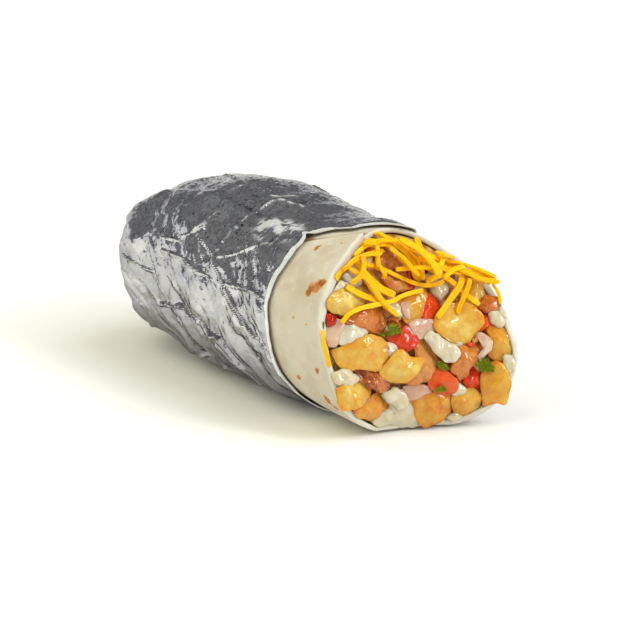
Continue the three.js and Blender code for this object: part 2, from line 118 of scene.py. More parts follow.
def section(x):
    """Half width, half height and middle height of the roll at stations x."""
    tail = 1 - smooth(x - BACK_X, 0, BACK_STRETCH)
    squeezed = SQUEEZE_SHARE * (1 - smooth(x, SQUEEZE_FULL, SQUEEZE_FROM))
    drawn = DRAWN_SHARE * smooth(x, DRAWN_FROM, DRAWN_FULL)
    half_width = WIDTH / 2 * (1 - BACK_NARROW * tail - drawn - squeezed)
    half_height = HEIGHT / 2 * (1 - BACK_DROOP * tail - squeezed / 2)
    return half_width, half_height, FLOOR_LIFT - FLAT_DEPTH + half_height + BACK_RISE * tail


def body_point(row, angle, front, grow, lowest=None):
    """Points on the roll's surface, grown outwards. Rows below 1 lie on the back cap."""
    straight = BACK_X + CAP_LENGTH
    turn = np.minimum(row, 1) * np.pi / 2
    back = np.maximum(np.cos(turn), 0) ** (2 / CAP_POWER)
    ring = np.sin(turn) ** (2 / CAP_POWER)
    cap_x = straight - (CAP_LENGTH + grow) * back
    x = np.where(row < 1, cap_x, straight + (front - straight) * (row - 1))
    half_width, half_height, middle = section(x)
    radians = np.radians(angle)
    swell = grow
    for height, length, turns in SWELLS:
        swell = swell + height * np.sin(x / length + radians * turns)
    cosine, sine = np.cos(radians), np.sin(radians)
    power = np.abs(cosine) ** SECTION_POWER + np.abs(sine) ** SECTION_POWER
    corner = power ** (-1 / SECTION_POWER)
    cap_z = middle - CAP_DROP * half_height
    y = (half_width + swell) * corner * cosine * ring
    z = middle + (half_height + swell) * corner * sine
    floor = FLOOR_LIFT - grow if lowest is None else lowest
    z = np.maximum(cap_z + (z - cap_z) * ring, floor)
    return np.stack(np.broadcast_arrays(x, y, z), -1)


# Noise: smooth noise for soft relief, and noise made of flat facets for crumpled foil.
CELL_BASE, RANGE = 4096, 2 ** 32
AXIS_FACTORS = np.array([374761393, 668265263, 2246822519], np.uint64)
SEED_FACTOR, MIXES, LAST_SHIFT = 974634777, ((13, 1274126177), (16, 2654435761)), 15


def hashed(cell, seed):
    """A fixed random value from -1 to 1 for each cell."""
    mixed = (cell.astype(np.uint64) * AXIS_FACTORS).sum(-1) + np.uint64(seed * SEED_FACTOR)
    for shift, factor in MIXES:
        mixed = mixed & np.uint64(RANGE - 1)
        mixed = (mixed ^ (mixed >> np.uint64(shift))) * np.uint64(factor)
    mixed = mixed & np.uint64(RANGE - 1)
    return (mixed ^ (mixed >> np.uint64(LAST_SHIFT))).astype(float) / RANGE * 2 - 1


def soft_noise(points, size, seed):
    """Smooth noise from -1 to 1 with features about as wide as size."""
    p = np.asarray(points, float) / size + CELL_BASE
    cell = np.floor(p)
    f = p - cell
    f = f * f * (3 - 2 * f)
    total = 0
    for corner in np.ndindex(2, 2, 2):
        weight = np.prod([f[..., axis] if far else 1 - f[..., axis] for axis, far in enumerate(corner)], 0)
        total = total + weight * hashed(cell + np.array(corner), seed)
    return total


def soft_layers(points, layers):
    """The sum of several layers of smooth noise, each a size, a height and a seed."""
    return sum(height * soft_noise(points, size, seed) for size, height, seed in layers)


def turned(points, seed):
    """Points turned by a fixed random rotation, so that the cells of a noise never line up."""
    rng = np.random.default_rng(seed)
    basis, _ = np.linalg.qr(rng.normal(size=(3, 3)))
    return points @ basis


def facet_noise(points, size, seed):
    """Noise from -1 to 1 made of flat facets that meet in sharp folds."""
    p = turned(np.asarray(points, float), seed) / size + CELL_BASE
    cell = np.floor(p)
    f = p - cell
    order = np.argsort(-f, axis=-1)
    sorted_f = np.take_along_axis(f, order, -1)
    corner = cell.copy()
    total = hashed(corner, seed) * (1 - sorted_f[..., 0])
    for step in range(3):
        bump = (order[..., step:step + 1] == np.arange(3)).astype(float)
        corner = corner + bump
        after = sorted_f[..., step + 1] if step < 2 else 0
        total = total + hashed(corner, seed) * (sorted_f[..., step] - after)
    return total


# Meshes.
def linked(made):
    bpy.context.scene.collection.objects.link(made)
    return made


def add_mesh(name, points, faces, material, marks=None, faceted=False):
    """One mesh object from points in millimetres and lists of corners. Marks are values of its points."""
    mesh = bpy.data.meshes.new(name)
    mesh.from_pydata(((np.asarray(points) - BOX_MIDDLE) * MM).tolist(), [], faces)
    for key, values in (marks or {}).items():
        layer = mesh.attributes.new(key, "FLOAT", "POINT")
        layer.data.foreach_set("value", np.asarray(values, np.float32))
    mesh.validate()
    mesh.update()
    mesh.polygons.foreach_set("use_smooth", [not faceted] * len(mesh.polygons))
    mesh.materials.append(material)
    return linked(bpy.data.objects.new(name, mesh))


def ring_faces(rings, columns):
    """Quads between neighbouring rings of a tube whose rings have equal counts of points."""
    ring = np.arange(rings - 1)[:, None] * columns
    column = np.arange(columns)[None, :]
    after = (column + 1) % columns
    quads = np.stack([ring + column, ring + after, ring + columns + after, ring + columns + column], -1)
    return quads.reshape(-1, 4).tolist()


def fan_faces(pole, first, columns, outward):
    """Triangles from a pole to a ring."""
    column = np.arange(columns)
    after = (column + 1) % columns
    pair = (first + after, first + column) if outward else (first + column, first + after)
    return np.stack([np.full(columns, pole), *pair], -1).tolist()


def closed_skin(rings, flip=True):
    """Points and faces of rings with a pole at the middle of the first and the last one."""
    rings = np.asarray(rings, float)
    count, columns = rings.shape[:2]
    points = np.concatenate([rings.reshape(-1, 3), rings[0].mean(0)[None], rings[-1].mean(0)[None]])
    faces = ring_faces(count, columns)
    faces += fan_faces(count * columns, 0, columns, True)
    faces += fan_faces(count * columns + 1, (count - 1) * columns, columns, False)
    return points, [face[::-1] for face in faces] if flip else faces


def join(parts):
    """Several (points, faces, marks) as one."""
    points, faces, marks, start = [], [], {}, 0
    for part_points, part_faces, part_marks in parts:
        points.append(part_points)
        faces += [[corner + start for corner in face] for face in part_faces]
        for key, values in part_marks.items():
            marks.setdefault(key, []).append(values)
        start += len(part_points)
    return np.concatenate(points), faces, {key: np.concatenate(values) for key, values in marks.items()}


# What shows at the mouth: lift, rise, squareness, tone and an outline as y and z on the mouth.
POTATO = [
    (0.5, 2.8, 3, 0.05, [(-33.5, 52.7), (-31.2, 56.4), (-26.4, 57.5), (-21.5, 55.5), (-15.9, 51.1),
     (-20.7, 49.6), (-26.5, 48), (-30.9, 49.2)]),
    (1.6, 2, 3.4, 0.34, [(-34.2, 36.3), (-29.4, 37.1), (-21, 39.2), (-17.8, 39.7), (-14.1, 38.1),
     (-11.4, 35), (-11.6, 29.7), (-15.2, 27.1), (-18.9, 26.5), (-24.7, 28.8), (-28.6, 27.9),
     (-32.4, 30.7)]),
    (2.6, 2.2, 3, 0.3, [(-16.6, 26.1), (-13.2, 28.9), (-8.6, 32.8), (-6.2, 32.6), (-4.2, 29.6), (0.6, 29.7),
     (1.1, 27.5), (-2.7, 22.8), (-7.5, 20.5), (-13.3, 21.7)]),
    (1.2, 2.4, 4.5, 0.35, [(-35.5, 21.9), (-29.6, 23), (-21.5, 22.2), (-19.7, 18.7), (-20.6, 15.8),
     (-25.6, 14.1), (-31.8, 13.7), (-34.9, 16.5)]),
    (0.3, 2.4, 3.4, 0.6, [(-28.6, 12.6), (-23.4, 15.3), (-16.2, 17.3), (-11.1, 14.7), (-10.1, 11.8),
     (-14.7, 9.4), (-19.3, 4.8), (-25.1, 7)]),
    (0.6, 1.8, 3.4, 0.5, [(-7.2, 47.6), (0.4, 49.9), (6.6, 51), (10.6, 50), (9.3, 46.7), (5.8, 43.2),
     (2, 40.3), (-0.8, 41.1), (-2.5, 44.4)]),
    (2.2, 1.5, 4, 0.28, [(8.7, 39.2), (11.1, 42.4), (15.7, 44.8), (21, 45.6), (25.6, 44.1), (27.3, 40.9),
     (26.6, 38), (23.1, 35.5), (18.9, 32.5), (13.6, 33), (10.1, 36.3)]),
    (0.2, 2, 3.2, 0.28, [(27.6, 52.3), (32.7, 52.6), (34.9, 50.9), (33, 47.6), (28.3, 43.6), (24.5, 44.9),
     (24, 48.7)]),
    (0.6, 2.4, 3.2, 0.55, [(28, 36.2), (32.8, 38.4), (35, 37.4), (35.6, 33.6), (34.8, 27.4), (31.9, 24.9),
     (28.4, 25.3), (26.1, 27.8), (29.4, 30.6)]),
    (1.6, 2.4, 3, 0.5, [(21.2, 19.2), (23.3, 22.5), (27.1, 24.8), (30, 23.8), (31, 18.7), (29.7, 13.3),
     (28.6, 8.9), (25.4, 10.4), (21.6, 8.8), (21, 13.1)]),
    (0.8, 2.5, 3.4, 0.58, [(-5.6, 13.1), (1.9, 14.4), (9.4, 14.1), (12, 14.9), (12.4, 9.7), (9.6, 5.4),
     (5, 1.4), (1.4, 1.6), (-2.8, 7.8)]),
    (0.6, 2.4, 3, 0.42, [(11, 12), (13.8, 16.4), (18.8, 15.2), (21.6, 11.6), (19.7, 7.2), (15.3, 3.7),
     (12.4, 6.1)]),
    (-0.8, 1.6, 3, 0.6, [(-8.3, 49), (-2.9, 49.1), (1.6, 47.5), (0.1, 43.7), (-5.6, 41.4), (-8.7, 45)]),
]
CHICKEN = [
    (0.9, 2.6, 2.6, 0.35, [(0.1, 67.4), (6.1, 67.7), (8.8, 65.2), (9.1, 61.9), (7, 60.2), (3.4, 61.6),
     (0.9, 64.6)]),
    (0.3, 2.4, 2.6, 0.35, [(-4.4, 64.6), (1.1, 64.3), (3.9, 61.7), (6.8, 59.9), (2.5, 58.5), (-3.1, 59),
     (-5.9, 61.3)]),
    (0.2, 2.2, 2.4, 0.2, [(-5.7, 57.5), (0.3, 58.4), (6, 57.1), (8.8, 54.4), (6.8, 52), (1.6, 51),
     (-2.6, 51.6), (-4.9, 54.2)]),
    (0.2, 3, 2.4, 0.5, [(-26.9, 45), (-23.5, 47.6), (-17.3, 49.1), (-10.6, 48.2), (-8.1, 44.4), (-9.8, 40),
     (-14.6, 38.6), (-19, 41.4), (-24.6, 42.8)]),
    (0.9, 2.8, 2.4, 0.08, [(-0.7, 33.4), (3.6, 35.2), (6.7, 32.5), (7.5, 28.5), (5.7, 23.5), (2.6, 19.7),
     (-1.9, 18.7), (-7, 20), (-5, 23.7), (-1, 27.6)]),
    (0.9, 2.6, 2.6, 0.35, [(14.8, 31.4), (20, 31.8), (25.1, 31.1), (25.4, 29), (21.1, 25.7), (18.3, 23.2),
     (17.2, 20.1), (14.7, 18.1), (12.2, 21), (11.1, 24.1), (15.7, 27.4)]),
    (0.4, 2.6, 2.4, 0.7, [(-25.3, 26.3), (-23.4, 27.9), (-19, 26.8), (-15, 24.3), (-12.1, 20.1),
     (-13.1, 17.7), (-16.6, 17.3), (-20.7, 21.3), (-24.6, 22.9)]),
    (1, 2.4, 2.4, 0.6, [(28.1, 43.7), (32.1, 46.3), (35, 46.4), (35.7, 43.2), (33.7, 41.5), (30.1, 40.9),
     (28, 42.2)]),
    (-0.3, 2, 2.4, 0.65, [(-8.8, 42.6), (-5.2, 43.8), (-1.7, 42), (-2.7, 40), (-6.1, 39.8)]),
    (-0.8, 2, 2.4, 0.8, [(19.2, 56.2), (23.5, 55.7), (25.3, 53.5), (23, 52.1), (20.1, 53.8)]),
    (-0.3, 1.8, 2.4, 0.3, [(21.6, 33.1), (25.2, 36.1), (26.4, 34.5), (24.7, 31.8), (21.9, 30.5)]),
    (-1.2, 1.6, 2.4, 0.85, [(-7.6, 68.1), (-1.8, 66.4), (-2.9, 63.7), (-9.5, 65.1), (-11.9, 66.9)]),
]
TOMATO = [
    (-1.2, 1.6, 4, 0.9, [(-33.1, 48.6), (-29.3, 48.2), (-26.2, 46.1), (-29.3, 45.2), (-32.8, 44.2),
     (-33.7, 45.6)]),
    (0.2, 2, 4.5, 0.3, [(5.8, 43.1), (8.8, 46.7), (12.6, 49.2), (14.9, 45.9), (14.6, 43.8), (10.7, 40.8),
     (6.4, 41.4)]),
    (0.6, 2, 5, 0.4, [(-10.8, 37.9), (-5, 38.3), (-1.5, 40.3), (1.3, 35.7), (-0.2, 33), (-4.1, 31.5),
     (-7.2, 32.2), (-8.8, 35.2)]),
    (1.3, 2.2, 5, 0.1, [(2.5, 19), (5.5, 24.2), (9.3, 22.7), (13.2, 19), (12, 15), (9.1, 14.3),
     (4.9, 15.2)]),
    (0.2, 2.2, 5, 0.5, [(15.8, 18.5), (19.9, 23.2), (22.1, 19.8), (22.4, 17), (21.2, 14.7), (17.5, 15.4)]),
    (-0.3, 1.8, 4, 0.2, [(28.8, 40.7), (31.8, 41.5), (32.6, 40.4), (30.5, 37.4), (27.3, 35.8), (24.8, 35),
     (27.1, 37.9)]),
    (-0.3, 1.6, 4, 0.4, [(7.6, 57), (10.7, 56.5), (9, 54.1), (6.1, 54.7)]),
    (-2, 1.6, 4, 0.95, [(14.3, 57.5), (18, 56), (15.5, 54.4), (12.9, 55.4)]),
    (-0.2, 1.6, 4, 0.3, [(3.2, 54.2), (7.2, 54), (7.2, 51.7), (3.1, 51.5)]),
    (-0.6, 1.4, 4, 0.3, [(19.9, 31.9), (22.6, 32.2), (22.7, 30.6), (20, 30.4)]),
]
ONION = [
    (-0.2, 1.6, 3, 0.3, [(-34.2, 44.3), (-30, 46.5), (-26.7, 44.8), (-26.9, 42.5), (-30, 39.8),
     (-31.7, 37.2), (-34.7, 37.6), (-35, 40.7)]),
    (0.5, 1.2, 4, 0.3, [(-0.6, 40.8), (3.4, 41.5), (9.4, 40.6), (9.6, 37.6), (5.7, 35.4), (2, 35.4),
     (0.3, 37.8)]),
    (0.1, 1.6, 3, 0.2, [(23.5, 34.5), (26.5, 34.2), (29.9, 31.3), (28.3, 29.7), (23.3, 25.8), (22.3, 27.1),
     (25.6, 29.1)]),
    (0.1, 1.6, 3, 0.5, [(-6.3, 18.3), (2.5, 18.2), (4.2, 14.4), (-4.2, 12.7), (-5, 15.6)]),
    (0.9, 1, 3, 0.2, [(-10.9, 35.4), (-8.1, 34), (-7.9, 31.1), (-10.7, 29.1), (-11.6, 31.7)]),
    (0.9, 1, 3, 0.5, [(-1.4, 47.7), (1.6, 47.6), (-0, 42.1), (-1.7, 43.8)]),
]
SAUCE = [
    (0.7, 1.7, 2.2, 0.2, [(-31.1, 38.6), (-29.4, 41.8), (-25.5, 44.5), (-21.4, 43.1), (-16.7, 41.3),
     (-19.5, 39.1), (-23.5, 37.7), (-26, 35.8), (-29.5, 36.7)]),
    (-0.3, 1.8, 2.2, 0.1, [(-22.9, 61.3), (-18.8, 62.2), (-15.8, 59.7), (-16.1, 57.1), (-19.2, 56.3),
     (-22.4, 58.1)]),
    (2.4, 1.3, 2.2, 0.1, [(3, 35.6), (6.5, 37.5), (8.7, 35.7), (11.2, 32.8), (14.7, 31.1), (15, 28.8),
     (12.5, 26.4), (9.1, 26.2), (7.4, 28.8), (4.7, 31.9)]),
    (0.1, 1.7, 2.2, 0.4, [(12.7, 54.2), (16.9, 55.2), (21.1, 52.8), (19.8, 49.1), (15.5, 46.2),
     (14.3, 48.8), (13.2, 51.3)]),
    (0.4, 1.6, 2.2, 0.35, [(-35.7, 27.8), (-32.1, 28.2), (-26.8, 26.8), (-24.9, 24.2), (-26.6, 22.7),
     (-31.8, 23), (-35.5, 24.2)]),
    (-0.2, 1.4, 2.2, 0.3, [(-15.6, 16.2), (-9.9, 17), (-6.4, 16.6), (-4.3, 11.9), (-2.4, 8.4), (1.9, 3.6),
     (0.4, 1.4), (-4.9, 0.8), (-13.2, 2.1), (-18.7, 4.3), (-15.5, 8.7), (-10.6, 11)]),
    (-0.2, 1.3, 2.2, 0.5, [(9.6, 3.6), (14.1, 6.3), (15, 3.7), (11.5, 1)]),
    (-0.4, 1.5, 2.2, 0.1, [(31.3, 24.2), (35.3, 26.1), (34.9, 22.3), (33, 18.1), (31.6, 15.7),
     (31.6, 19.7)]),
    (-0.3, 1.5, 2.2, 0.1, [(32.1, 40.7), (35.8, 42.2), (36.6, 39.8), (35.2, 37.2), (32, 37.3)]),
    (0.1, 1.2, 2.4, 0, [(-32, 55.3), (-30.8, 57.4), (-26.7, 59.5), (-22.3, 58.3), (-26.1, 57.3),
     (-29.9, 56.5)]),
    (-0.4, 1.3, 2.2, 0.2, [(11.5, 35.7), (14.9, 32.1), (18, 31.5), (15.5, 30.2), (12.7, 31.9)]),
    (-0.6, 1.3, 2.2, 0.4, [(-11.4, 30.2), (-8.6, 28.7), (-11.2, 27.7), (-13.8, 26.2)]),
    (0.9, 1.4, 2.2, 0.3, [(-15.4, 17.3), (-10.6, 18.3), (-6.8, 16.6), (-5, 11.7), (-7.4, 9.6),
     (-11.7, 11.8)]),
    (0.9, 1.4, 2.2, 0.3, [(11.4, 17.5), (13.7, 17.7), (15.6, 15.5), (13.9, 12.2), (11.8, 13.5)]),
    (0.6, 1.4, 2.2, 0.5, [(-7.5, 48.5), (-4.1, 48.7), (-1.8, 46.3), (-2.7, 43.9), (-5.5, 44.8)]),
    (0.7, 1.5, 2.2, 0.1, [(31, 26.4), (33.6, 26.4), (33.8, 23.6), (32.4, 18.6), (30.6, 16.4),
     (29.8, 22.3)]),
    (0.7, 1.5, 2.2, 0.1, [(29.8, 37.9), (31.8, 41.6), (33.8, 42.2), (34.8, 40.2), (34.8, 37.8),
     (32.6, 36.9)]),
]
LEAVES = [
    (2.9, [(-12.4, 38.4), (-10.2, 42.3), (-7.9, 42.4), (-6, 41.3), (-4.8, 38.5), (-9, 38.4)]),
    (3.6, [(18.7, 25.1), (23.6, 27.4), (25, 24.3), (25.4, 22), (20.9, 21.9)]),
    (3.9, [(1.6, 16.9), (4, 17.4), (6, 18.9), (8.1, 16.1), (5, 15.6)]),
    (2.2, [(6.1, 27.2), (9.7, 25.4), (10.3, 23.4), (7.6, 23.2), (5.8, 25.5)]),
    (2, [(-14.7, 39.4), (-11.8, 39.7), (-11.8, 37.8), (-14.2, 38.2)]),
    (0.5, [(-35.2, 46.8), (-34.6, 46.1), (-35.3, 43.5), (-36, 44.1)]),
    (2.4, [(-0.1, 57), (2.3, 56.1), (1.2, 55.5), (-0.5, 56.1)]),
]
SHREDS = [
    (2.2, [(-28.7, 62.2), (-24.6, 63.7), (-16.2, 65.2), (-7.2, 66.2), (-1.2, 65.6)]),
    (4.2, [(0.3, 72.1), (1.1, 69.8), (5.2, 66.6), (8.3, 62.9), (8.7, 58.6), (8.9, 55.8), (10.2, 54.7)]),
    (2.6, [(-16.7, 67.1), (-16.1, 63.4), (-12.7, 55.1), (-9.9, 49.6), (-5.4, 44.8)]),
    (3.8, [(-16.5, 64.5), (-14.2, 60.5), (-9.8, 55.1), (-3.8, 51.3)]),
    (2, [(-13.5, 63.9), (-8.2, 61.8), (-3.4, 59.3), (2, 56), (8.5, 53), (14.7, 52.4), (21.2, 53.9)]),
    (2.2, [(-11.9, 70.6), (-4.7, 69.7), (0.5, 67.2), (3.2, 63.3), (6.7, 58.7)]),
    (3.2, [(-24.4, 58.3), (-19.8, 54.9), (-12.8, 51.1)]),
    (2.2, [(-29, 45.6), (-25.9, 48.6), (-21.1, 49.9), (-14.4, 50.3), (-6.4, 50), (-0.5, 51), (7.8, 51.7)]),
    (3.6, [(18.1, 65.7), (17.1, 62.8), (18.7, 59.9), (22.9, 57.1), (27.4, 55.1), (33, 53.5),
     (37.8, 51.3)]),
    (2.4, [(13.1, 58.9), (16, 56.4), (20.2, 53.3), (23.4, 48.8), (27, 44.8)]),
    (3, [(25.6, 54.1), (20.9, 50.5), (15.6, 46.4), (9.9, 42.2)]),
    (2.2, [(27.3, 53.3), (23.1, 49.8), (19.8, 45.9), (18.1, 42.7)]),
    (2.4, [(16.6, 60.6), (20.5, 59.6), (25.2, 60)]),
    (2, [(21.9, 59), (26.7, 58), (31.1, 56.3), (34.9, 54.3), (36.9, 52.7)]),
    (1.6, [(35.3, 50.7), (35.8, 47.5), (34.8, 44.3)]),
    (2, [(-17.8, 67.9), (-9.6, 69.5), (-1.9, 68.6)]),
    (2.4, [(-6.6, 69.7), (-7.4, 66), (-8, 60.7)]),
    (2.4, [(8.3, 64.7), (10.6, 61.1), (10.3, 57.9), (9.6, 54.8)]),
    (3, [(-37.1, 43.8), (-36.9, 38.5), (-36.5, 30.3)]),
    (2.6, [(-1, 71.7), (1.1, 69.8), (3, 68)]),
    (2.2, [(-21.4, 64.1), (-15, 58.6), (-11.8, 51.9), (-9, 48.4)]),
    (3, [(9.6, 62.6), (14.4, 60.5), (17.7, 58.7), (20.9, 57.8)]),
    (2.4, [(-8.9, 63.4), (-6.3, 59.4), (-6.6, 57.5)]),
    (2.2, [(-11.7, 71), (-3.9, 70.6), (4.1, 69.1)]),
    (3, [(8.5, 65.8), (12.2, 63.8), (17.2, 61.3), (22.7, 60)]),
    (2.6, [(10.8, 63.6), (13.1, 60.6), (17.4, 58.3), (22.3, 56.3), (25.2, 55.3)]),
    (2, [(12.7, 61.9), (14.2, 59.8), (15.1, 57)]),
    (2.2, [(-0.2, 59.6), (7.6, 60.1), (14.7, 60.8), (20.1, 61.1)]),
    (2.2, [(-24.5, 64.5), (-19.9, 66.6), (-13.4, 67.6), (-6.6, 67.1)]),
    (2.4, [(-23, 59.4), (-18.9, 61.7), (-16.3, 64.5), (-15.6, 68.3)]),
    (2.4, [(23.2, 57.5), (27.1, 55.6), (30.6, 53.2), (36.5, 51.9)]),
    (2, [(18.2, 63.3), (22.1, 61.6), (25.9, 60)]),
    (2.2, [(-1, 67.5), (2.7, 63.7), (4.3, 59.6), (6.3, 57.6)]),
    (3.2, [(4.7, 69.7), (9.1, 66.4), (10.9, 62.4), (11.3, 57.8), (10.2, 54.7)]),
    (2.2, [(14.8, 56.6), (20.9, 57.8), (26, 57.9)]),
]


# Foil.
CREASES, CREASE_HEIGHT, CREASE_SEED, CREASE_SHARE = 64, 2.2, 20741, 0.6
DRAW_FACTOR, DRAW_STEP = 1664525, 1013904223
FOLD_NARROW, FOLD_LOW, CREST_WIDTH, RELIEF_CAP, RELIEF_BASE = 0.36, 0.75, 0.45, 2.8, 0.3
WIDTH_WOBBLE, RISE_BASE, RISE_WOBBLE, CREST_WOBBLE = 0.45, 0.75, 0.55, 0.9
GATHER_FOLDS, GATHER_HEIGHT, GATHER_TWIST = 12, 1.7, 0.8
EDGE_CALM, EDGE_WAVE, CALM_SHARE, FLARE, TUCK = 7.0, 0.5, 0.75, 0.15, 0.35
HEM_WIDTH, HEM_WOBBLE, HEM_HEIGHT, HEM_STEP = 2.3, 0.45, 0.5, 0.15
TOP_FULLNESS, TOP_FULL_FROM, TOP_FULL_TO = 1.8, 0.0, -34.0
FOIL_COLUMNS, FOIL_CAP_ROWS, FOIL_ROWS, FOIL_INNER_ROWS = 460, 56, 150, 5
# How deep the crumple may go, and where that fades towards the edge.
DIP, DIP_FROM, DIP_TO, BELOW_DIP = -0.8, 16, 8, 0.25
INNER_ROOM, RIM_SHARE, RIM_SET_BACK, INNER_LOW, FLOOR_WAVE = 0.2, 0.62, 0.15, 0.75, 0.12
# The near side is crushed and drawn out in streaks. Each layer of facets has a size, a height on the
# smooth top, how much more it has on the near side, and a seed.
NEAR_FROM, STREAK_LEAN, STREAK_STRETCH = 122, math.radians(44), 0.22
WARP_SIZE, WARP_SEEDS, WARP_FAR, WARP_NEAR, WARP_STREAK = 15.0, (11, 12, 13), 3.0, 0.8, 1.3
FACETS = ((14.0, 0.36, 0.84, 21), (7.0, 0.17, 0.67, 22), (3.2, 0.07, 0.28, 23), (1.5, 0.03, 0.05, 24))
STREAKS = ((7.0, 1.0, 25), (2.8, 0.32, 26))
NEAR_PATCHES = (12.0, 27)
# A crushed patch on the near shoulder: station, way round, half sizes, its facets and its painted bright
# shards.
CRUSHED = (14.0, math.radians(122) * HEIGHT / 2, 11.0, 6.0)
CRUSHED_FACETS = ((3.0, 0.9, 28), (1.6, 0.3, 29))
SHARD_STRETCH, SHARDS, SMALL_SHARDS, SMALL_SHARE = (0.45, 1, 1), (1.9, 30), (1.2, 31), 0.7

# Long folds as x and angle, with their height and half width.
FOLDS = [
    (1.5, 2.4, [(-29, 148), (-21, 135.5), (-20.4, 125), (-27, 111.5), (-29, 99), (-12.5, 98), (-1, 87.5)]),
    (1.6, 2.2, [(-9.4, 140), (-7.2, 124), (-8.1, 111.5), (-7.8, 101), (4.6, 96.5), (13, 98.5)]),
    (0.9, 1.8, [(-20.2, 137), (-21.8, 124.5)]),
    (1.0, 2.0, [(-42.5, 151.5), (-29.2, 150.5)]),
    (1.5, 2.4, [(-18.8, 144.5), (-10.9, 148.5), (1, 164), (14, 183)]),
    (1.0, 2.4, [(-29, 99), (-39, 94.5), (-61.4, 80)]),
    (0.9, 2.2, [(-5.6, 150), (5, 141.5), (19.7, 127.5), (19.6, 108)]),
    (1.3, 2.6, [(1.9, 163.5), (22.4, 159), (29, 160)]),
    (2.2, 3.4, [(-42.5, 194), (-28, 189.5), (-14.7, 194), (0, 198.5), (9, 212)]),
    (1.5, 2.8, [(-36, 227), (-22, 224), (-10.7, 225.5)]),
    (1.7, 2.6, [(4.4, 166), (11.8, 176.5), (22, 186), (31.8, 191.5)]),
    (1.6, 3.0, [(-40, 159.5), (-23.6, 159.5), (-5.7, 164)]),
    (1.4, 2.6, [(-67.7, 167.5), (-46.3, 173), (-42.3, 181.5)]),
    (1.5, 2.8, [(-70.5, 193.5), (-56.8, 200.5), (-59.5, 221.5)]),
    (1.2, 2.4, [(-30.8, 199), (-28.9, 215)]),
    (1.6, 2.6, [(15.6, 170.5), (24.7, 180.5), (31.8, 199.5)]),
    (1.2, 2.2, [(-5, 205), (14, 222)]),
    (1.0, 2.0, [(-20, 60), (4, 40), (10, 12)]),
    (1.2, 2.4, [(-50, 40), (-20, 22), (6, -10)]),
]


def crease_list():
    """The same creases as in the CAD source, drawn in the same order from the same seed."""
    state = CREASE_SEED

    def draw(low, high):
        nonlocal state
        state = (state * DRAW_FACTOR + DRAW_STEP) % RANGE
        return low + (high - low) * state / RANGE

    made = []
    for _ in range(CREASES):
        around = draw(0, 360)
        x = draw(BACK_X, 58)
        lean = math.radians(draw(8, 50) if 125 < around < 250 else draw(60, 115))
        made.append((around, x, lean, draw(12, 38), draw(4, 9), CREASE_HEIGHT * draw(0.35, 1)))
    return made


def crease_height(x, angle):
    height = np.zeros_like(x)
    for around, at, lean, half, width, tall in crease_list():
        turn = np.radians((angle - around + 540) % 360 - 180) * HEIGHT / 2
        run = x - at
        along = np.abs(run * math.cos(lean) + turn * math.sin(lean))
        off = np.abs(turn * math.cos(lean) - run * math.sin(lean))
        ridge = tall * np.maximum(1 - off / width, 0) * np.maximum(1 - along / half, 0)
        height = np.maximum(height, ridge)
    return height


def fold_height(x, angle, uneven):
    """Thin sharp folds along drawn lines, uneven as they go, and how near each point is to a ridge's top, as
    a painted glint.
    """
    height, crest = np.zeros_like(x), np.zeros_like(x)
    turn = np.radians(angle) * HEIGHT / 2
    for tall, width, line in FOLDS:
        best = np.full(x.shape, np.inf)
        for (x0, a0), (x1, a1) in zip(line, line[1:]):
            s0, s1 = math.radians(a0) * HEIGHT / 2, math.radians(a1) * HEIGHT / 2
            dx, ds = x1 - x0, s1 - s0
            along = np.clip(((x - x0) * dx + (turn - s0) * ds) / (dx * dx + ds * ds), 0, 1)
            best = np.minimum(best, np.hypot(x - x0 - along * dx, turn - s0 - along * ds))
        wide = width * FOLD_NARROW * (1 + WIDTH_WOBBLE * uneven)
        rise = tall * FOLD_LOW * (RISE_BASE + RISE_WOBBLE * uneven)
        height = np.maximum(height, rise * np.maximum(1 - best / wide, 0))
        crest = np.maximum(crest, 1 - smooth(best / (CREST_WIDTH * (1 + CREST_WOBBLE * uneven)), 0.5, 1.0))
    return height, crest


def gather_height(row, angle):
    turn = angle * GATHER_FOLDS / 360 + row * GATHER_TWIST + 1
    fold = np.abs(turn % 1 - 0.5) * 2
    return GATHER_HEIGHT * fold * smooth(row, 0.15, 0.6) * (1 - smooth(row, 0.75, 1.05))


def crumples(spot, x, around, near_side):
    """Facets of several sizes, the shift that bends them, and a mask of painted highlights in bright shard
    shapes on the crushed patch.
    """
    warp = np.stack([facet_noise(spot, WARP_SIZE, seed) for seed in WARP_SEEDS], -1)
    bent = spot + WARP_FAR * warp
    run = x * math.cos(STREAK_LEAN) + around * math.sin(STREAK_LEAN)
    across = around * math.cos(STREAK_LEAN) - x * math.sin(STREAK_LEAN)
    streaked = np.stack([run * STREAK_STRETCH, across, spot[..., 2] * 0.1], -1) + WARP_STREAK * warp
    patch = smooth(soft_noise(spot, *NEAR_PATCHES), -0.25, 0.45)
    places = ((bent, 1), (bent, 1), (bent + WARP_NEAR * warp, patch), (spot, patch * patch))
    total = 0
    for (size, top, near, seed), (place, share) in zip(FACETS, places):
        total = total + facet_noise(place, size, seed) * (top + near * near_side * share)
    for size, height, seed in STREAKS:
        total = total + near_side * height * facet_noise(streaked, size, seed)
    from_x, from_around = (x - CRUSHED[0]) / CRUSHED[2], (around - CRUSHED[1]) / CRUSHED[3]
    crushed = np.exp(-from_x ** 2 - from_around ** 2)
    for size, height, seed in CRUSHED_FACETS:
        total = total + crushed * height * facet_noise(bent, size, seed)
    painted_shard_glints = facet_noise(spot * SHARD_STRETCH + WARP_NEAR * warp, *SHARDS)
    painted_shard_glints = painted_shard_glints + SMALL_SHARE * facet_noise(spot, *SMALL_SHARDS)
    return total, warp, smooth(painted_shard_glints, 0.1, 0.2) * smooth(crushed, 0.1, 0.45)


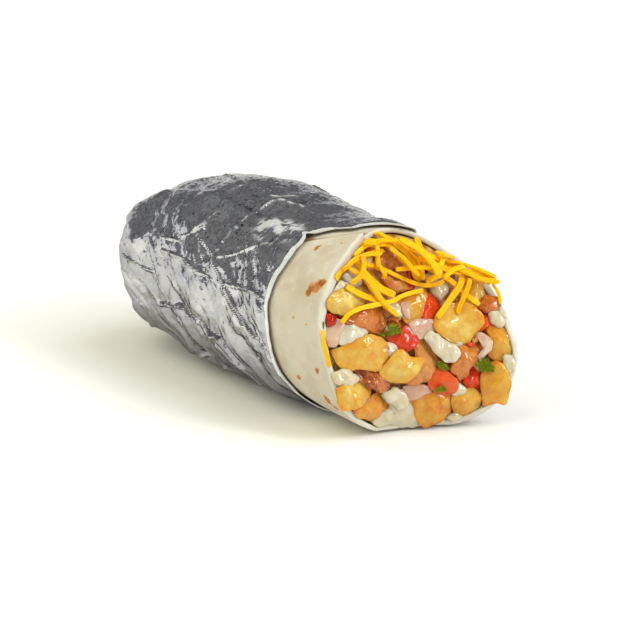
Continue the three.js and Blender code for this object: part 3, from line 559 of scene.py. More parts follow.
def flap_rise(x, angle):
    """How far the foil stands out over the overlap of the tortilla."""
    past = angle - (seam_angle(x) - SEAM_LEAD)
    return FLAP_STEP * flap_share(angle) * smooth(past, 0, SEAM_LEAD - 2)


def foil_outside(row, angle):
    """The outer skin, its front and growth at the rim, and the marks of the paper hem and of painted glints.
    """
    radians = np.radians(angle)
    up = np.sin(radians)
    on_circle = np.stack([np.cos(radians) * 36, up * 36, 0 * angle], -1)
    front = torn_edge_x(angle) + EDGE_WAVE * soft_noise(on_circle, 5.0, 5) * smooth(row, 1.7, 2)
    body = body_point(row, angle, front, 1.2, FOIL)
    x = body[..., 0]
    unrolled = np.radians((angle + 90) % 360 - 90)
    near_side = smooth(np.sin(np.radians(angle - NEAR_FROM)), 0.0, 0.5)
    crumple, warp, painted_shard_glints = crumples(body, x, unrolled * HEIGHT / 2, near_side)
    uneven = facet_noise(body, 4.0, 32)
    folds, crest = fold_height(x + 1.3 * warp[..., 0] + 0.7 * uneven,
                               np.degrees(unrolled) + 1.8 * warp[..., 1], uneven)
    drawn = crease_height(x, angle % 360) * CREASE_SHARE + folds
    relief = RELIEF_CAP * np.tanh(drawn / RELIEF_CAP) + RELIEF_BASE + crumple
    calm = smooth(x, front - EDGE_CALM, front - 0.5 * HEM_WIDTH)
    hem_from = front - HEM_WIDTH * (1 + HEM_WOBBLE * soft_noise(body, 7.0, 31))
    hem = smooth(x, hem_from - HEM_STEP, hem_from + HEM_STEP)
    full = TOP_FULLNESS * smooth(up, 0.1, 0.7) * smooth(row, 0.2, 0.8)
    full = full * (1 - smooth(x, TOP_FULL_TO, TOP_FULL_FROM))
    lifted = relief * (1 - CALM_SHARE * calm) + gather_height(row, angle) + full
    lifted = lifted + (FLARE * smooth(up, 0.8, 0.97) - TUCK) * calm + HEM_HEIGHT * hem
    deepest = DIP * (1 - smooth(x, front - DIP_FROM, front - DIP_TO))
    lifted = np.where(lifted < deepest, deepest + BELOW_DIP * (lifted - deepest), lifted)
    floor = smooth(-up, 0.75, 0.95)
    grow = FOIL_CLEARANCE + FOIL + flap_rise(x, angle) + lifted * (1 - floor)
    outer = body_point(row, angle, front, grow, 0.0)
    outer[..., 2] = np.maximum(outer[..., 2], FLOOR_WAVE * (1 + warp[..., 0]) * (floor < 0.5))
    # Painted glints: pale marks along the fold crests and on the crushed patch, standing in for light caught
    # there.
    crest = crest * smooth(soft_noise(body, 1.8, 51), -0.1, 0.3) * (1 - 0.8 * near_side)
    crest = np.maximum(crest * (1 - 0.85 * smooth(np.cos(radians), 0.2, 0.7)), painted_shard_glints)
    return outer, front[-1][None, :], grow[-1][None, :], hem, crest


def foil_inside(angle, front, rim_grow):
    """The inner skin, from the rim back over the tortilla and its overlap."""
    rows = np.concatenate([np.linspace(2, 1.86, FOIL_INNER_ROWS), np.arange(1.8, 0.3, -0.08)])
    row, angle = np.meshgrid(rows, angle, indexing="ij")
    x = body_point(row, angle, front, 0.0)[..., 0]
    under = FOIL_CLEARANCE - INNER_ROOM + flap_rise(x, angle) + DIP * (1 - smooth(row, 1.5, 1.86))
    settle = smooth(row, 1.8, 2.0)
    grow = (rim_grow - FOIL * RIM_SHARE) * settle + under * (1 - settle)
    return body_point(row, angle, front - RIM_SET_BACK, grow, FOIL * INNER_LOW)


def make_foil(material):
    rows = np.concatenate([np.linspace(0.012, 1, FOIL_CAP_ROWS, endpoint=False),
                           np.linspace(1, 2, FOIL_ROWS)])
    row, angle = np.meshgrid(rows, np.arange(FOIL_COLUMNS) * 360 / FOIL_COLUMNS, indexing="ij")
    outer, front, rim_grow, hem, crest = foil_outside(row, angle)
    inner = foil_inside(angle[0], front, rim_grow)
    points, faces = closed_skin(np.concatenate([outer, inner]))
    inner_count = inner.shape[0] * FOIL_COLUMNS
    marks = {"hem": np.concatenate([hem.ravel(), np.ones(inner_count), [0, 0]]),
             "crest": np.concatenate([crest.ravel(), np.zeros(inner_count + 2)])}
    return add_mesh("foil_wrap", points, faces, material, marks, faceted=True)


# Tortilla.
TORTILLA_COLUMNS_BEFORE, TORTILLA_COLUMNS_AFTER = 90, 236
# SEAM_SHADE and LIP_SHADE bound the painted seam shade, in mm from the seam.
RIM_BEVEL, SEAM_SHADE, LIP_SHADE = 0.6, (4.8, 3.5), (0.6, 1.2)
OPEN_SWELLS = ((15.0, 0.45, 51), (5.0, 0.16, 52), (1.8, 0.06, 53))
INSIDE_SWELLS, RIM_SWELLS = ((9.0, 0.2, 54),), ((7.0, 0.5, 55), (2.6, 0.25, 56))
# The step at the overlap: angles from the seam, and the share of the step's height at each.
STEP_OFFSETS = (-1.5, -0.55, 0.25, -0.05, 0.2, 0.75, 1.7)
STEP_LEVELS = (0.0, -0.35, -0.35, 0.62, 0.9, 1.0, 1.0)
STEP_FROM, STEP_TO = 1.6, 2.1
# Toasted spots: station, angle, half sizes along and round the roll, turn in degrees, strength.
TOAST = [
    (39.7, 123, 1.5, 1.0, 60, 0.75), (48.3, 115, 0.9, 0.5, 20, 0.5), (55.6, 141.5, 1.3, 2.4, 55, 1.0),
    (52.0, 147.5, 1.5, 2.2, 40, 0.85), (53.8, 144.5, 2.6, 3.8, 50, 0.42), (47.2, 165, 0.6, 0.5, 0, 0.45),
    (54.2, 166, 0.8, 0.5, 0, 0.3), (59.7, 193, 0.9, 1.3, 20, 0.75), (47, 203.5, 1.0, 1.5, 60, 0.6),
    (61.0, 213, 2.6, 1.3, 65, 0.7), (63.5, 218, 1.4, 0.9, 30, 0.65), (45.8, 127, 0.7, 0.5, 0, 0.2),
    (60, 40, 2.2, 1.5, 20, 0.8), (48, 20, 1.6, 1.1, 60, 0.6), (66, 2, 1.4, 1.9, 30, 0.7),
    (52, -22, 1.8, 1.2, 80, 0.6), (38, 66, 1.5, 1.0, 40, 0.55), (57, 75, 1.0, 0.7, 0, 0.4),
    (72, -38, 1.6, 1.1, 20, 0.6), (56, 240, 2.0, 1.2, 50, 0.7), (44, 232, 1.2, 0.9, 10, 0.5),
    (70, 262, 1.8, 1.3, 30, 0.6), (30, 10, 1.3, 1.0, 0, 0.5),
]


def toast_mark(x, angle, points):
    """How toasted each point of the tortilla is, from 0 to 1, with ragged edges."""
    ragged = soft_layers(points, ((1.3, 0.35, 41), (0.7, 0.25, 42)))
    mark = np.zeros_like(x)
    for at, around, half_x, half_s, turn, strength in TOAST:
        run = x - at
        side = np.radians((angle - around + 540) % 360 - 180) * HEIGHT / 2
        c, s = math.cos(math.radians(turn)), math.sin(math.radians(turn))
        far = np.hypot((run * c + side * s) / half_x, (side * c - run * s) / half_s)
        mark = np.maximum(mark, strength * (1 - smooth(far + ragged, 0.45, 1.35)))
    return mark


def tortilla_angles(x_guess):
    """Angles of the columns, bunched at the overlap's step, and how far up the step each is."""
    seam = seam_angle(x_guess)
    start = seam + STEP_TO
    before = [(seam - STEP_FROM) * column / TORTILLA_COLUMNS_BEFORE
              for column in range(TORTILLA_COLUMNS_BEFORE)]
    step = [seam + offset for offset in STEP_OFFSETS]
    after = [start + (360 - start) * column / TORTILLA_COLUMNS_AFTER
             for column in range(TORTILLA_COLUMNS_AFTER)]
    level = [0.0] * len(before) + [*STEP_LEVELS] + [1.0] * len(after)
    return np.stack([*before, *step, *after], -1), np.array(level)


def tortilla_ring(row, grow, outside):
    """One ring of the roll, with the station and angle of each of its points."""
    angle, level = tortilla_angles(np.float64(MOUTH_MIDDLE))
    for _ in range(4):
        front = on_rim(MOUTH_MIDDLE, MOUTH_WAVES, angle)
        columns = tortilla_angles(body_point(row, angle, front, 0.0)[..., 0])[0]
        angle = columns[np.arange(len(angle)), np.arange(len(angle))]
    front = on_rim(MOUTH_MIDDLE, MOUTH_WAVES, angle)
    base = body_point(row, angle, front, 0.0)
    x = base[..., 0]
    edge = edge_x(angle)
    total = grow - UNDER_FOIL * (1 - smooth(x, edge - UNDER_FROM, edge - UNDER_TO))
    if outside:
        total = total + level * FLAP_STEP * flap_share(angle) * (row > 0.5)
        total = total + smooth(x, edge - 3, edge + 2) * soft_layers(base, OPEN_SWELLS)
    else:
        total = total + soft_layers(base, INSIDE_SWELLS)
    ahead = soft_layers(base, RIM_SWELLS) * smooth(row, 1.9, 2)
    return body_point(row, angle, front + ahead, total), x, angle


def make_tortilla(material):
    rings, marks = [], {"toast": [], "rim": [], "seam": []}

    def add(ring, rim, toast=0.0, seam=0.0):
        rings.append(ring)
        for key, value in (("toast", toast), ("rim", rim), ("seam", seam)):
            marks[key].append(np.broadcast_to(value, len(ring)))

    rows = [np.linspace(0.03, 1, 12, endpoint=False), np.linspace(1, 1.72, 26, endpoint=False),
            np.linspace(1.72, 2, 62)]
    for row in np.concatenate(rows):
        ring, x, angle = tortilla_ring(row, 0.0, True)
        # The seam mark is painted shade: a brown band on the overlap just behind the flap's edge, fading out
        # at the lip.
        past = (angle - seam_angle(x)) * math.radians(1) * HEIGHT / 2
        shade = smooth(past, -SEAM_SHADE[0], -SEAM_SHADE[1]) * (1 - smooth(past, *LIP_SHADE))
        add(ring, smooth(row, 1.99, 2.0), toast_mark(x, angle, ring), shade)
    # The cut edge: a rounded band from the outside to the inside.
    outer, inner = tortilla_ring(2.0, 0.0, True)[0], tortilla_ring(2.0, -TORTILLA, False)[0]
    for turn in np.linspace(0.2, 0.8, 5) * math.pi:
        share = (1 - math.cos(turn)) / 2
        ring = outer + (inner - outer) * share
        if share < 0.5:
            ring = tortilla_ring(2.0, -TORTILLA * share, True)[0]
        add(ring + np.array([RIM_BEVEL * math.sin(turn), 0, 0]), 1.0)
    for row in (2.0, 1.99, 1.975, 1.95, 1.9, 1.8, 1.6, 1.2, 0.9, 0.5, 0.2):
        add(tortilla_ring(row, -TORTILLA, False)[0], 1.0 if row > 1.97 else 0.4)
    points, faces = closed_skin(np.array(rings))
    marks = {key: np.concatenate([*values, [0, 0]]) for key, values in marks.items()}
    return add_mesh("tortilla_roll", points, faces, material, marks)


# Pieces of the filling at the mouth.
CHUNK_COLUMNS, CHUNK_TOP, CHUNK_LOW = 72, 18, 7
CHUNK_SWELL, CORNER_CUT, FACET_STEEP, FIBRE_SQUEEZE = 0.55, 0.17, 1.4, 0.72
INSIDE_WALL, CORE_DEPTH, FRONT_DROP, CORE_COLUMNS = TORTILLA + 0.35, 1.5, 0.9, 240
CORE_LUMPS = ((6.0, 1.1, 61), (3.0, 0.7, 62))
SLOPE_STEP, LOWEST_PIECE, PATCH_TONE = 0.5, 0.6, 0.22


def rounded(outline):
    """A drawn outline with each corner cut once, which makes short round corners."""
    points = np.asarray(outline, float)
    after = np.roll(points, -1, 0)
    ends = [points + (after - points) * CORNER_CUT, after + (points - after) * CORNER_CUT]
    return np.stack(ends, 1).reshape(-1, 2)


def resampled(points, count):
    closed = np.concatenate([points, points[:1]])
    length = np.concatenate([[0], np.cumsum(np.linalg.norm(np.diff(closed, axis=0), axis=1))])
    at = np.linspace(0, length[-1], count, endpoint=False)
    return np.stack([np.interp(at, length, closed[:, axis]) for axis in range(points.shape[1])], -1)


def mouth_frame(y, z):
    """Unit vectors along the mouth's surface and out of it."""
    across = np.array([mouth_x(y + SLOPE_STEP, z) - mouth_x(y - SLOPE_STEP, z), 2 * SLOPE_STEP, 0.0])
    rising = np.array([mouth_x(y, z + SLOPE_STEP) - mouth_x(y, z - SLOPE_STEP), 0.0, 2 * SLOPE_STEP])
    out = np.cross(across, rising)
    out /= np.linalg.norm(out)
    rising /= np.linalg.norm(rising)
    return np.cross(rising, out), rising, out


def hold_in(points):
    """Moves what lies behind the rim inwards until it is inside the tortilla."""
    x, y, z = points.T
    half_width, half_height, middle = section(x)
    half_width, half_height = half_width - INSIDE_WALL, half_height - INSIDE_WALL
    size = (np.abs(y / half_width) ** SECTION_POWER
            + np.abs((z - middle) / half_height) ** SECTION_POWER) ** (1 / SECTION_POWER)
    angle = np.degrees(np.arctan2((z - middle) / half_height, y / half_width))
    behind = 1 - smooth(x - on_rim(MOUTH_MIDDLE, MOUTH_WAVES, angle), -0.2, 1.6)
    keep = 1 - behind * (1 - 1 / np.maximum(size, 1))
    z = middle + (z - middle) * keep
    z = np.maximum(z, np.where(behind > 0.5, FLOOR_LIFT + INSIDE_WALL, LOWEST_PIECE))
    return np.stack([x, y * keep, z], -1)


def vertex_normals(points, faces):
    quads = np.array([face if len(face) == 4 else [*face, face[-1]] for face in faces])
    a, b, c, d = (points[quads[:, i]] for i in range(4))
    normal = np.cross(c - a, d - b)
    total = np.zeros_like(points)
    for i in range(4):
        np.add.at(total, quads[:, i], normal)
    return total / (np.linalg.norm(total, axis=1, keepdims=True) + 1e-12)


def relief_shift(points, relief, number, rng, along, rising):
    """How far each point moves out, from layers of height, size and kind."""
    shift = 0
    for height, size, kind in relief:
        if kind == "fibre":
            turn = rng.uniform(0, math.pi)
            way = math.cos(turn) * along + math.sin(turn) * rising
            squeezed = points - np.outer(points @ way, way) * FIBRE_SQUEEZE
            value = soft_noise(turned(squeezed, number), size, number + 7)
        elif kind == "facet":
            value = facet_noise(points, size, number + 3)
        else:
            value = soft_noise(turned(points, number), size, number + 5)
        if kind == "ridge":
            value = 1 - 2 * np.abs(value)
        shift = shift + height * value
    return shift.reshape(-1, 1)


def chunk(outline, lift, rise, power, tone, depth, number, relief, facets, fall):
    """A lump of food with a drawn outline. Its top is a dome that facets may cut flat."""
    rng = np.random.default_rng(1000 + number)
    drawn = resampled(rounded(outline), CHUNK_COLUMNS)
    centre = drawn.mean(0)
    offset = drawn - centre
    drawn = drawn + offset / np.linalg.norm(offset, axis=1, keepdims=True) * CHUNK_SWELL
    along, rising, out = mouth_frame(*centre)
    origin = np.array([mouth_x(*centre) + lift, *centre])
    rim = np.stack([mouth_x(*drawn.T) + lift, *drawn.T], -1) - origin
    u, v, w = rim @ along, rim @ rising, rim @ out
    size = math.sqrt(np.mean(u * u + v * v))
    planes = []
    for _ in range(facets):
        away, slope = rng.uniform(0, 2 * math.pi), rng.uniform(0.4, 1.1)
        planes.append((math.cos(away) * slope, math.sin(away) * slope, rng.uniform(0.72, 1.02)))
    rings, tones = [], []

    def add(share, height, extra_tone):
        flat = np.outer(u * share, along) + np.outer(v * share, rising)
        rings.append(origin + flat + np.outer(w * share + height, out))
        tones.append(np.full(CHUNK_COLUMNS, extra_tone))

    for turn in np.linspace(0.04, 1, CHUNK_TOP) * math.pi / 2:
        share = math.sin(turn) ** (2 / power)
        height = np.full(CHUNK_COLUMNS, rise * math.cos(turn) ** (2 / power))
        for slope_u, slope_v, level in planes:
            fallen = (slope_u * u + slope_v * v) * share / size * FACET_STEEP
            height = np.minimum(height, rise * (level - fallen))
        add(share, height, fall * share ** 6)
    for turn in np.linspace(1, 1.94, CHUNK_LOW + 1)[1:] * math.pi / 2:
        add(math.sin(turn) ** 0.9, -depth * abs(math.cos(turn)) ** 0.8, fall)
    points, faces = closed_skin(np.array(rings))
    shift = relief_shift(points, relief, number, rng, along, rising)
    points = hold_in(points + vertex_normals(points, faces) * shift)
    tones = np.concatenate([*tones, [0, fall]]) + tone + PATCH_TONE * soft_noise(points, 5.0, number + 9)
    return points, faces, {"tone": tones, "spread": np.full(len(points), rng.uniform(0, 1))}


def make_kind(name, drawn, material, first, depth, relief, facets, fall):
    parts = [chunk(outline, lift, rise, power, tone, depth, first + count, relief, facets, fall)
             for count, (lift, rise, power, tone, outline) in enumerate(drawn)]
    points, faces, marks = join(parts)
    return add_mesh(name, points, faces, material, marks), points


def make_core(material):
    """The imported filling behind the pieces, with a lumpy front that follows the mouth."""
    angle = np.arange(CORE_COLUMNS) * 360 / CORE_COLUMNS
    front = on_rim(MOUTH_MIDDLE, MOUTH_WAVES, angle) - CORE_DEPTH
    rings = [body_point(np.full(CORE_COLUMNS, row), angle, front, -TORTILLA - GAP) for row in
             (0.15, 0.35, 0.6, 0.85, 1.1, 1.3, 1.5, 1.7, 1.85, 1.93, 1.97, 2.0)]
    rim = rings.pop()
    middle = np.array([0.0, HEIGHT / 2])
    for share in np.linspace(1, 0.02, 62):
        flat = middle + (rim[:, 1:] - middle) * share
        lumps = soft_layers(np.pad(flat, ((0, 0), (0, 1))), CORE_LUMPS)
        x = mouth_x(*flat.T) - CORE_DEPTH - FRONT_DROP + lumps * smooth(1 - share, 0.0, 0.05)
        rings.append(np.column_stack([x, flat]))
    points, faces = closed_skin(np.array(rings))
    return add_mesh("filling_core", points, faces, material)


# A height map of what stands at the mouth, so that shreds can lie on it.
MAP_STEP, MAP_LOW_Y, MAP_LOW_Z, MAP_SIZE, MAP_FLOOR = 0.6, -44.0, -4.0, 150, -3.0


class HeightMap:
    def __init__(self):
        self.height = np.full((MAP_SIZE, MAP_SIZE), MAP_FLOOR)

    def cells(self, y, z):
        i = np.clip(((y - MAP_LOW_Y) / MAP_STEP).round().astype(int), 1, MAP_SIZE - 2)
        j = np.clip(((z - MAP_LOW_Z) / MAP_STEP).round().astype(int), 1, MAP_SIZE - 2)
        return i, j

    def add(self, points):
        tall = points[:, 0] - mouth_x(points[:, 1], points[:, 2])
        points, tall = points[tall > MAP_FLOOR], tall[tall > MAP_FLOOR]
        i, j = self.cells(points[:, 1], points[:, 2])
        for di in (-1, 0, 1):
            for dj in (-1, 0, 1):
                np.maximum.at(self.height, (i + di, j + dj), tall)

    def top(self, y, z, radius):
        """The highest point within a radius of each place."""
        best = np.full(np.shape(y), MAP_FLOOR)
        for dy in (-radius, 0, radius):
            for dz in (-radius, 0, radius):
                best = np.maximum(best, self.height[self.cells(y + dy, z + dz)])
        return best


def curve_through(stops, spacing):
    """A smooth line through the stops, sampled evenly."""
    stops = np.asarray(stops, float)
    padded = np.concatenate([2 * stops[:1] - stops[1:2], stops, 2 * stops[-1:] - stops[-2:-1]])
    line = []
    for p0, p1, p2, p3 in zip(padded, padded[1:], padded[2:], padded[3:]):
        for t in np.linspace(0, 1, 12, endpoint=False):
            line.append(0.5 * (2 * p1 + (p2 - p0) * t + (2 * p0 - 5 * p1 + 4 * p2 - p3) * t * t
                               + (3 * p1 - p0 - 3 * p2 + p3) * t ** 3))
    line = np.array([*line, stops[-1]])
    length = np.concatenate([[0], np.cumsum(np.linalg.norm(np.diff(line, axis=0), axis=1))])
    at = np.linspace(0, length[-1], max(8, int(length[-1] / spacing)))
    return np.stack([np.interp(at, length, line[:, axis]) for axis in (0, 1)], -1)


SHRED_DEPTH, SHRED_SIDES, SHRED_CORNER, SHRED_THIN, SHRED_STEP = 1.0, 12, 6.0, 0.8, 0.55
ROLL, TWIST, SPAN_PASSES, SPAN_SAG, EASE_PASSES = 16, 26, 120, 0.004, 8


def shred(width, stops, heights, number):
    """A strip of cheese with a rounded rectangular section, laid over what is below it."""
    rng = np.random.default_rng(3000 + number)
    path = curve_through(stops, SHRED_STEP)
    count = len(path)
    lying = np.maximum(heights.top(*path.T, width * 0.3), 0.2)
    for _ in range(SPAN_PASSES):
        lying[1:-1] = np.maximum(lying[1:-1], 0.5 * (lying[:-2] + lying[2:]) - SPAN_SAG)
    for _ in range(EASE_PASSES):
        lying[1:-1] = np.maximum(lying[1:-1], 0.25 * (lying[:-2] + lying[2:]) + 0.5 * lying[1:-1])
    at = np.column_stack([mouth_x(*path.T) + lying + SHRED_DEPTH * 0.42, path])
    tangent = np.gradient(at, axis=0)
    tangent /= np.linalg.norm(tangent, axis=1, keepdims=True)
    side = np.cross([mouth_frame(y, z)[2] for y, z in path], tangent)
    side /= np.linalg.norm(side, axis=1, keepdims=True)
    up = np.cross(tangent, side)
    roll = np.radians(rng.uniform(-ROLL, ROLL) + rng.uniform(-TWIST, TWIST) * np.linspace(-1, 1, count))
    cosine, sine = np.cos(roll)[:, None], np.sin(roll)[:, None]
    side, up = side * cosine + up * sine, up * cosine - side * sine
    turn = (np.arange(SHRED_SIDES) + 0.5) * 2 * math.pi / SHRED_SIDES
    corner = np.abs(np.cos(turn)) ** SHRED_CORNER + np.abs(np.sin(turn)) ** SHRED_CORNER
    corner = corner ** (-1 / SHRED_CORNER)
    wide = 1 + soft_layers(at, ((4.0, 0.10, number + 70), (1.3, 0.05, number + 71)))
    deep = 1 + 0.12 * soft_noise(at, 5.0, number + 72)
    ends = np.minimum(np.arange(count), count - 1 - np.arange(count))
    blunt = np.clip(0.72 + 0.28 * ends / 1.5, 0, 1) / 2
    across = np.outer(width * SHRED_THIN * wide * blunt, corner * np.cos(turn))[..., None]
    over = np.outer(SHRED_DEPTH * deep * blunt, corner * np.sin(turn))[..., None]
    rings = at[:, None, :] + across * side[:, None, :] + over * up[:, None, :]
    points, faces = closed_skin(rings, flip=False)
    normals = vertex_normals(points, faces)
    points = hold_in(points - normals * (0.07 * soft_noise(points, 0.9, number + 73)).reshape(-1, 1))
    # Painted shading by face: the tone rises towards the strip's narrow edges, which take a lighter yellow
    # than the middle of its broad faces.
    tone = np.concatenate([np.tile(np.abs(np.cos(turn) * corner) ** 4, count), [0.5, 0.5]])
    return points, faces, {"tone": tone, "spread": np.full(len(points), rng.uniform(0, 1))}


def make_shreds(material, heights):
    parts = []
    for number, (width, stops) in enumerate(SHREDS):
        parts.append(shred(width, stops, heights, number))
        heights.add(parts[-1][0])
    points, faces, marks = join(parts)
    return add_mesh("cheese_shreds", points, faces, material, marks, faceted=True)


LEAF_COLUMNS, LEAF_RINGS, LEAF_THICK, LEAF_WAVE, LEAF_CURL = 64, 9, 0.42, 0.5, 0.35
TEETH, TOOTH_OUT, TOOTH_CUT, TOOTH_POWER = (5, 8), 1.10, 0.30, 1.5


def leaf(lift, outline, number):
    """A thin wavy leaf with a toothed edge."""
    rng = np.random.default_rng(5000 + number)
    drawn = resampled(rounded(outline), LEAF_COLUMNS)
    centre = drawn.mean(0)
    offset = drawn - centre
    turn = np.arctan2(offset[:, 1], offset[:, 0])
    teeth = np.abs(((turn * rng.integers(*TEETH) / math.pi + rng.uniform(0, 1)) % 1) - 0.5) * 2
    offset = offset * (TOOTH_OUT - TOOTH_CUT * teeth[:, None] ** TOOTH_POWER)
    rings, tones = [], []
    for side, shares in ((1, np.linspace(0.05, 1, LEAF_RINGS)), (-1, np.linspace(0.97, 0.05, LEAF_RINGS))):
        for share in shares:
            flat = centre + offset * share
            wave = LEAF_WAVE * soft_noise(np.pad(flat, ((0, 0), (0, 1))), 2.6, number + 90)
            curl = LEAF_CURL * share ** 2 * math.sin(number)
            thick = LEAF_THICK / 2 * side * (1 - 0.6 * share)
            rings.append(np.column_stack([mouth_x(*flat.T) + lift + wave + curl + thick, flat]))
            tones.append(0.3 + 0.5 * teeth * share)
    points, faces = closed_skin(np.array(rings))
    tone = np.concatenate([*tones, [0.4, 0.4]])
    return points, faces, {"tone": tone, "spread": np.full(len(points), rng.uniform(0, 1))}


def make_leaves(material):
    points, faces, marks = join([leaf(*drawn, number) for number, drawn in enumerate(LEAVES)])
    return add_mesh("herb_leaves", points, faces, material, marks)


# Materials.
FLAKE_HEIGHTS = (46.0, 56.0)


def fill_ramp(ramp, stops):
    while len(ramp.elements) < len(stops):
        ramp.elements.new(0.5)
    for element, (at, colour) in zip(ramp.elements, stops):
        element.position = at
        element.color = (*colour, 1)


class Nodes:
    """A short way to write a node material."""

    def __init__(self, name):
        self.material = bpy.data.materials.new(name)
        self.material.use_nodes = True
        self.tree = self.material.node_tree
        self.shader = self.tree.nodes["Principled BSDF"]
        self.place = self.node("TexCoord").outputs["Object"]

    def feed(self, socket, value):
        """Gives a socket a number, a colour or what another node puts out."""
        if isinstance(value, tuple):
            socket.default_value = (*value, 1) if len(socket.default_value) > len(value) else value
        elif isinstance(value, (int, float)):
            socket.default_value = value
        else:
            self.tree.links.new(value, socket)

    def node(self, kind, inputs=(), **settings):
        made = self.tree.nodes.new("ShaderNode" + kind)
        for key, value in settings.items():
            setattr(made, key, value)
        for key, value in dict(inputs).items():
            self.feed(made.inputs[key], value)
        return made

    def mapped(self, stretch=(1, 1, 1), shift=0.0):
        inputs = {"Vector": self.place, "Scale": stretch, "Location": (shift,) * 3}
        return self.node("Mapping", inputs).outputs[0]

    def noise(self, size_mm, detail=3.0, rough=0.5, stretch=(1, 1, 1), shift=0.0):
        return self.node("TexNoise", {"Vector": self.mapped(stretch, shift), "Scale": 1000 / size_mm,
                                      "Detail": detail, "Roughness": rough}).outputs["Fac"]

    def cells(self, size_mm, feature="F1", shift=0.0, output="Distance"):
        return self.node("TexVoronoi", {"Vector": self.mapped(shift=shift), "Scale": 1000 / size_mm},
                         feature=feature).outputs[output]

    def part(self, kind, source, name):
        return self.node("Separate" + kind, {0: source}).outputs[name]

    def patches(self, size_mm):
        """Flat-sided patches, each with its own value from 0 to 1."""
        return self.part("Color", self.cells(size_mm, output="Color"), "Red")

    def height_mm(self):
        return self.math("MULTIPLY", self.part("XYZ", self.place, "Z"), 1 / MM)

    def mark(self, name):
        return self.node("Attribute", attribute_name=name).outputs["Fac"]

    def ramp(self, value, stops):
        made = self.node("ValToRGB", {"Fac": value})
        fill_ramp(made.color_ramp, stops)
        return made.outputs["Color"]

    def band(self, value, low, high, to_low=0.0, to_high=1.0):
        return self.node("MapRange", {"Value": value, "From Min": low, "From Max": high, "To Min": to_low,
                                      "To Max": to_high}, interpolation_type="SMOOTHSTEP").outputs["Result"]

    def uneven(self, low, high, *noise, **more):
        """Noise spread over a range."""
        return self.band(self.noise(*noise, **more), 0.3, 0.7, low, high)

    def math(self, kind, one, two):
        return self.node("Math", {0: one, 1: two}, operation=kind).outputs[0]

    def vector(self, kind, *values):
        return self.node("VectorMath", enumerate(values), operation=kind).outputs[0]

    def mix(self, share, one, two):
        made = self.node("Mix", data_type="RGBA")
        for slot, value in ((0, share), (6, one), (7, two)):
            self.feed(made.inputs[slot], value)
        return made.outputs[2]

    def specks(self, base, size_mm, shift, reach, share, colour):
        return self.mix(self.band(self.cells(size_mm, shift=shift), 0.0, reach, share, 0.0), base, colour)

    def set(self, **values):
        for key, value in values.items():
            self.feed(self.shader.inputs[key.replace("_", " ")], value)

    def bump(self, heights, distance_mm):
        """Bumps from pairs of a height, or the size and detail of a noise, and a strength."""
        normal = None
        for height, strength in heights:
            height = self.noise(*height) if isinstance(height, tuple) else height
            made = self.node("Bump", {"Height": height, "Strength": strength, "Distance": distance_mm * MM})
            if normal:
                self.feed(made.inputs["Normal"], normal)
            normal = made.outputs["Normal"]
        self.set(Normal=normal)

    def flakes(self, layers):
        """Tilts the surface, by another amount in each cell, as crushed foil does.

        Each layer is a cell size, a tilt and the share of its cells that stay as they are.
        """
        normal = self.shader.inputs["Normal"].links[0].from_socket
        for size_mm, tilt, still in layers:
            colour = self.cells(size_mm, output="Color")
            picked = self.math("GREATER_THAN", self.part("Color", colour, "Blue"), still)
            if still:
                picked = self.math("MULTIPLY", picked, self.band(self.height_mm(), *FLAKE_HEIGHTS))
            centred = self.vector("SUBTRACT", colour, (0.5, 0.5, 0.5))
            normal = self.vector("MULTIPLY_ADD", centred, self.math("MULTIPLY", picked, tilt), normal)
        self.set(Normal=self.vector("NORMALIZE", normal))

    def food(self, base, rough, glow, bumps, distance_mm, **look):
        """Finishes a food. The glow below its surface is a share, a radius in mm and a colour."""
        share, radius_mm, colour = glow
        self.set(Base_Color=base, Roughness=rough, Subsurface_Weight=share,
                 Subsurface_Scale=radius_mm * MM, Subsurface_Radius=colour, **look)
        self.bump(bumps, distance_mm)
        return self.material


def foil_material():
    n = Nodes("foil_crinkled")
    tint = n.mix(n.band(n.noise(14.0, 2.0), 0.35, 0.65), (0.59, 0.595, 0.61), (0.68, 0.68, 0.69))
    # Painted reflections: below about 44 to 58 mm up, and in small cells everywhere, flat-sided patches are
    # painted darker, as facets that mirror dark surroundings.
    lower = n.band(n.height_mm(), 44.0, 58.0, 1.0, 0.0)
    for size_mm, share in ((10.0, 0.45), (4.5, 0.38)):
        darker = n.math("MULTIPLY", n.band(n.patches(size_mm), 0.35, 0.75, 0.0, share), lower)
        tint = n.mix(darker, tint, (0.36, 0.36, 0.39))
    tint = n.mix(n.band(n.patches(2.2), 0.55, 0.9, 0.0, 0.3), tint, (0.42, 0.42, 0.44))
    # Painted reflection of the shadowed floor: darker lavender-grey towards the bottom, below 8 to 34 mm.
    tint = n.mix(n.band(n.height_mm(), 8.0, 34.0, 1.0, 0.0), tint, (0.31, 0.305, 0.34))
    # The hem mark is the wrapper's pale paper side; the glint mark paints highlights along crests and shards.
    # Both are pale, less metallic and rougher.
    paper_hem_and_painted_glints = n.math("MAXIMUM", n.mark("hem"), n.math("MULTIPLY", n.mark("crest"), 0.85))
    smudged = n.band(n.noise(5.0, 3.0), 0.35, 0.7, 0.07, 0.17)
    n.set(Base_Color=n.mix(paper_hem_and_painted_glints, tint, (0.84, 0.85, 0.86)), Specular_Tint=(0.55, 0.55, 0.57),
          Roughness=n.math("ADD", smudged, n.math("MULTIPLY", paper_hem_and_painted_glints, 0.35)),
          Metallic=n.math("SUBTRACT", 1.0, n.math("MULTIPLY", paper_hem_and_painted_glints, 0.6)))
    n.bump([((1.5, 4.0, 0.6), 0.22), ((0.4, 2.0), 0.06)], 0.3)
    n.flakes([(2.6, 0.10, 0.0), (1.0, 0.17, 0.0), (0.8, 0.9, 0.84)])
    return n.material


